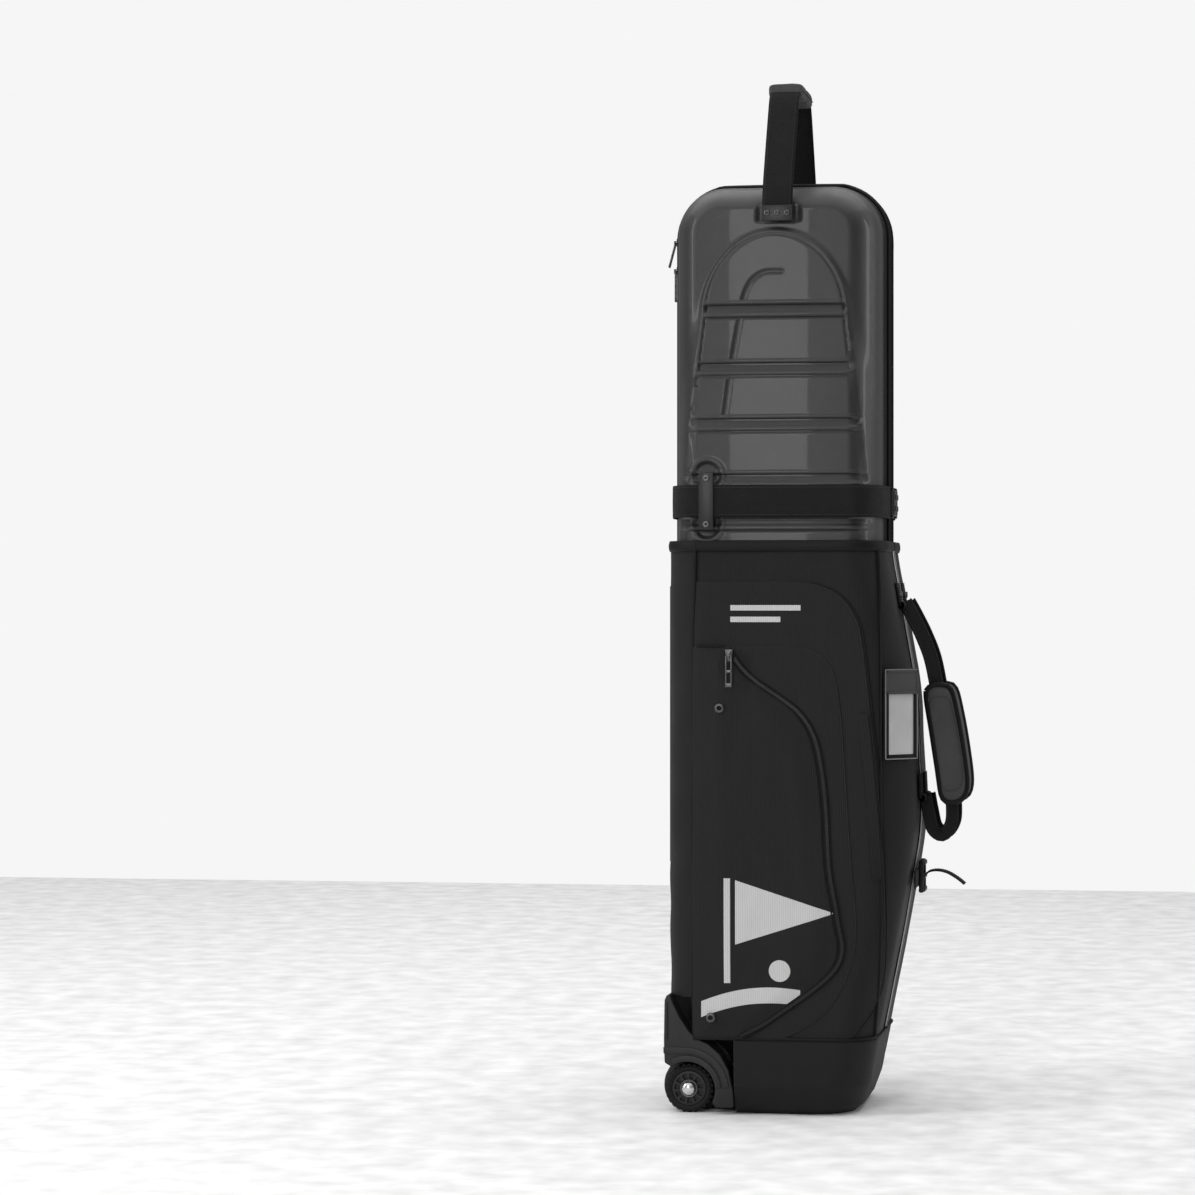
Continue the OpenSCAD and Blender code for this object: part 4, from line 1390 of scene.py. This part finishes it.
def moulding(outline, y0, y1, bevel, segments=3):
    """A plate with the outline given in x and z, between two places across the case."""
    bm = bmesh.new()
    corners = [bm.verts.new((x, y1, z)) for x, z in outline]
    loop = [bm.edges.new(pair) for pair in zip(corners, corners[1:] + corners[:1])]
    face = bmesh.ops.contextual_create(bm, geom=loop)["faces"]
    made = bmesh.ops.extrude_face_region(bm, geom=face)["geom"]
    bmesh.ops.translate(bm, vec=(0, y0 - y1, 0), verts=[v for v in made if isinstance(v, bmesh.types.BMVert)])
    bmesh.ops.recalc_face_normals(bm, faces=bm.faces)
    rims = [e for e in bm.edges if len(e.link_faces) == 2 and e.calc_face_angle(0) > 0.6]
    bmesh.ops.bevel(bm, geom=rims, offset=bevel, offset_type="OFFSET", affect="EDGES", segments=segments,
                    profile=0.5, material=-1, clamp_overlap=True)
    return bm


FIN = [(-152, 71), (-153, 100), (-152, 158), (-149, 165), (-144, 165), (-139, 152), (-130, 134), (-118, 116),
       (-108, 106), (-90, 98), (-74, 84), (-62, 62), (-56, 36), (-54.5, 12), (-57, 10), (-80, 10)]
housing_outline = FIN + wheel_arc(WELL_R, -26, 126)
ledge = wheel_arc(WELL_R + 0.5, 4, 122) + wheel_arc(WELL_R + 9, 118, 4)
step_band = [(-153.2, 84), (-153.4, 93)] + wheel_arc(WELL_R + 20, 90, 4) + wheel_arc(WELL_R + 11, 4, 92)
rib = [(-152.6, 104), (-151.8, 156), (-147.6, 156), (-147.2, 104)]
inner_wall = [(5, -73), (WELL_R + 2, -73), (WELL_R + 2, -76), (5, -76), (5, -73)]
cover = join(moulding(housing_outline, HOUSING_NEAR[0].y + 1.2, HOUSING_NEAR[1].y - 1, 1.6),
             moulding(ledge, HOUSING_NEAR[0].y - 1.0, HOUSING_NEAR[0].y + 4, 1.0),
             moulding(step_band, HOUSING_NEAR[0].y - 0.4, HOUSING_NEAR[0].y + 4, 0.9),
             moulding(rib, HOUSING_NEAR[0].y - 0.2, HOUSING_NEAR[0].y + 4, 0.9),
             turned(inner_wall, (WHEEL.x, 0, WHEEL.z), steps=48))
pattern = bpy.data.meshes.new("pattern")
cover.to_mesh(pattern)
cover.free()
for side, far in (("near", False), ("far", True)):
    bm = bmesh.new()
    bm.from_mesh(pattern)
    write(f"{side} wheel housing", bm, HOUSING, "root", [f"housing_{side}"], far, sharp=32)
bpy.data.meshes.remove(pattern)

# %% Wheels
TREAD, HALF_WIDE, HUB_R = 34.0, 12.0, 24.0
LUGS, SPOKES = 26, 11


def round_wheel(bm, turn):
    """Turns a small part, drawn above the axle, round the wheel."""
    bmesh.ops.rotate(bm, cent=WHEEL, matrix=Matrix.Rotation(turn, 3, "Y"), verts=bm.verts)
    return bm


def tyre():
    h = HALF_WIDE
    profile = [(HUB_R + 0.1, -h + 1.4), (HUB_R + 1.5, -h + 0.2), (HUB_R + 5, -h + 0.1), (TREAD - 4, -h + 0.2),
               (TREAD - 1.6, -h + 2.0), (TREAD - 0.7, -h + 5), (TREAD - 0.6, 0), (TREAD - 0.7, h - 5),
               (TREAD - 1.6, h - 2.0), (TREAD - 4, h - 0.2), (HUB_R + 1.5, h - 0.2), (HUB_R + 0.1, h - 1.4),
               (HUB_R + 0.1, -h + 1.4)]
    parts = [turned(profile, WHEEL, steps=78)]
    for k in range(LUGS):
        turn = 2 * math.pi * k / LUGS
        x, y, z = WHEEL
        lug = block((x - 2.5, y - h + 1.0, z + TREAD - 3), (x + 2.5, y + h - 1.0, z + TREAD), 0.9)
        dash = block((x - 1.6, y - h - 0.6, z + TREAD - 5.6), (x + 1.6, y - h + 1.2, z + TREAD - 4.0), 0.4)
        parts += [round_wheel(lug, turn), round_wheel(dash, turn)]
    return join(*parts)


def hub():
    """A turned disc whose outer face is pressed in between the spokes."""
    h = HALF_WIDE
    profile = [(11, -h + 2), (11, -h + 0.6), (12.5, -h), (13.2, -h), (20.5, -h), (21.2, -h),
               (HUB_R - 0.4, -h + 0.3), (HUB_R, -h + 1.2), (HUB_R, h - 1), (HUB_R - 1, h), (12, h), (11, h - 2),
               (11, -h + 2)]
    bm = turned(profile, WHEEL, steps=SPOKES * 6)
    sunk = []
    for face in bm.faces:
        c = face.calc_center_median() - WHEEL
        radius = math.hypot(c.x, c.z)
        sector = math.degrees(math.atan2(c.z, c.x)) % (360 / SPOKES) / (360 / SPOKES)
        if c.y < -h + 0.05 and 14 < radius < 20 and sector < 0.66:
            sunk.append(face)
    made = bmesh.ops.extrude_face_region(bm, geom=sunk)["geom"]
    bmesh.ops.delete(bm, geom=sunk, context="FACES_ONLY")
    bmesh.ops.translate(bm, vec=(0, 5, 0), verts=[g for g in made if isinstance(g, bmesh.types.BMVert)])
    bmesh.ops.recalc_face_normals(bm, faces=bm.faces)
    return bm


def bolt():
    head = [(0, -6.4), (2.5, -6.3), (5.5, -5.6), (8.2, -4.0), (9.6, -2.0), (10.2, 0.2), (10.2, 0.9), (4.1, 1.2),
            (4.1, 46), (0, 46)]
    return turned(head, (WHEEL.x, -112.4, WHEEL.z), steps=48)


def washer():
    profile = [(10.0, 0.4), (10.4, -0.6), (12.2, -0.8), (12.9, 0.2), (12.9, 1.0), (10.0, 1.0), (10.0, 0.4)]
    return turned(profile, (WHEEL.x, -111.0, WHEEL.z), steps=48)


for side, far in (("near", False), ("far", True)):
    write(f"{side} tyre", tyre(), RUBBER, f"wheel_{side}", [f"tyre_{side}"], far)
    write(f"{side} hub", hub(), HUB, f"wheel_{side}", [f"hub_{side}"], far)
    write(f"{side} axle bolt", bolt(), STEEL, "root", ["axle_bolts"] if not far else (), far)
    write(f"{side} axle washer", washer(), DARK_METAL, "root", (), far)

# %% Skid rails
RAIL_LOW, RAIL_HIGH = mm("back_rails")
for side, far in (("near", False), ("far", True)):
    parts = [block((RAIL_LOW.x + 1.6, -54, RAIL_LOW.z), (RAIL_HIGH.x, -36, RAIL_HIGH.z), 1.8, 3)]
    for y in (-51, -46.2, -41.4):
        parts.append(block((RAIL_LOW.x, y, RAIL_LOW.z + 7), (RAIL_LOW.x + 3, y + 2.6, RAIL_HIGH.z - 7), 0.9, 3))
    for z in (RAIL_LOW.z + 18, (RAIL_LOW.z + RAIL_HIGH.z) / 2, RAIL_HIGH.z - 18):
        parts.append(block((RAIL_LOW.x + 1.0, -50, z - 5), (RAIL_LOW.x + 3, -40, z + 5), 0.9, 3))
    write(f"{side} skid rail", join(*parts), HOUSING, "root", ["back_rails"] if not far else (), far)

# %% [markdown]
# ## Inside the case
# The shell halves are lined with quilted padding. A foam block holds the club heads, and a padded
# strap ties the clubs to the stiffener board.

# %% Lining and tie-down


LINING_IN = 7.6


def quilted(node, pitch=46, sink=1.6):
    """A closed pad in a node's box, pressed in along a square grid of stitch lines on its inner face."""
    low, high = mm(node)
    columns, rows = round((high.x - low.x) / 6), round((high.z - low.z) / 6)
    bm = bmesh.new()
    bmesh.ops.create_grid(bm, x_segments=columns, y_segments=rows, size=0.5)
    middle_x, middle_z = (low.x + high.x) / 2, (low.z + high.z) / 2
    inner = high.y + LINING_IN
    for vert in bm.verts:
        x = vert.co.x * (high.x - low.x - 3)
        z = vert.co.y * (high.z - low.z - 3)
        over = abs(z) - (high.z - low.z - 3) / 2 + 60 if z > 0 else 0
        x *= 1 - 0.22 * ease(over / 60) if over > 0 else 1
        puff = abs(math.sin(math.pi * x / pitch)) * abs(math.sin(math.pi * z / pitch))
        vert.co = Vector((middle_x + x, inner - sink * (1 - puff ** 0.35), middle_z + z))
    top = bm.faces[:]
    made = bmesh.ops.extrude_face_region(bm, geom=top)["geom"]
    for vert in (g for g in made if isinstance(g, bmesh.types.BMVert)):
        vert.co.y = low.y + LINING_IN
    bmesh.ops.recalc_face_normals(bm, faces=bm.faces)
    return bm


for side, body, far in (("near", "near_half", False), ("far", "root", True)):
    piece = write(f"{side} quilted lining", quilted("lining_near"), LINING, body, [f"lining_{side}"],
                  far, sharp=75)

PAD_LOW, PAD_HIGH = mm("head_pad")
bm = padded_wrap(PAD_LOW + Vector((1, 0, 1)), PAD_HIGH - Vector((1, LINING_IN, 1)))
piece = write("club head pad", bm, LINING, "root", ["head_pad"], sharp=80)
smooth = piece.modifiers.new("smooth", "SUBSURF")
smooth.levels = smooth.render_levels = 1
TIE_LOW, TIE_HIGH = mm("inner_strap")
tie = [Vector(((TIE_LOW.x + TIE_HIGH.x) / 2, TIE_LOW.y + (TIE_HIGH.y - TIE_LOW.y) * k / 8,
               (TIE_LOW.z + TIE_HIGH.z) / 2)) for k in range(9)]
strap("tie-down strap", tie, (1, 0, 0), TIE_HIGH.z - TIE_LOW.z, "root", ["inner_strap"], thickness=1.8, step=8)
CLIP_LOW, CLIP_HIGH = mm("inner_buckle")
clip = join(block(CLIP_LOW, CLIP_HIGH - Vector((2, 0, 0)), 1.6, 3),
            block(CLIP_LOW + Vector((2, 6, 6)), CLIP_HIGH - Vector((0, 6, 6)), 1.6, 3))
write("tie-down buckle", clip, BUCKLE, "root", ["inner_buckle"])
for node, finish in (("base_board", BOARD), ("back_stiffener", BOARD), ("bearings", STEEL)):
    materials = bpy.data.objects[node].data.materials
    for slot_number in range(len(materials)):
        materials[slot_number] = finish
print("carried over with a new finish: base_board, back_stiffener, bearings")
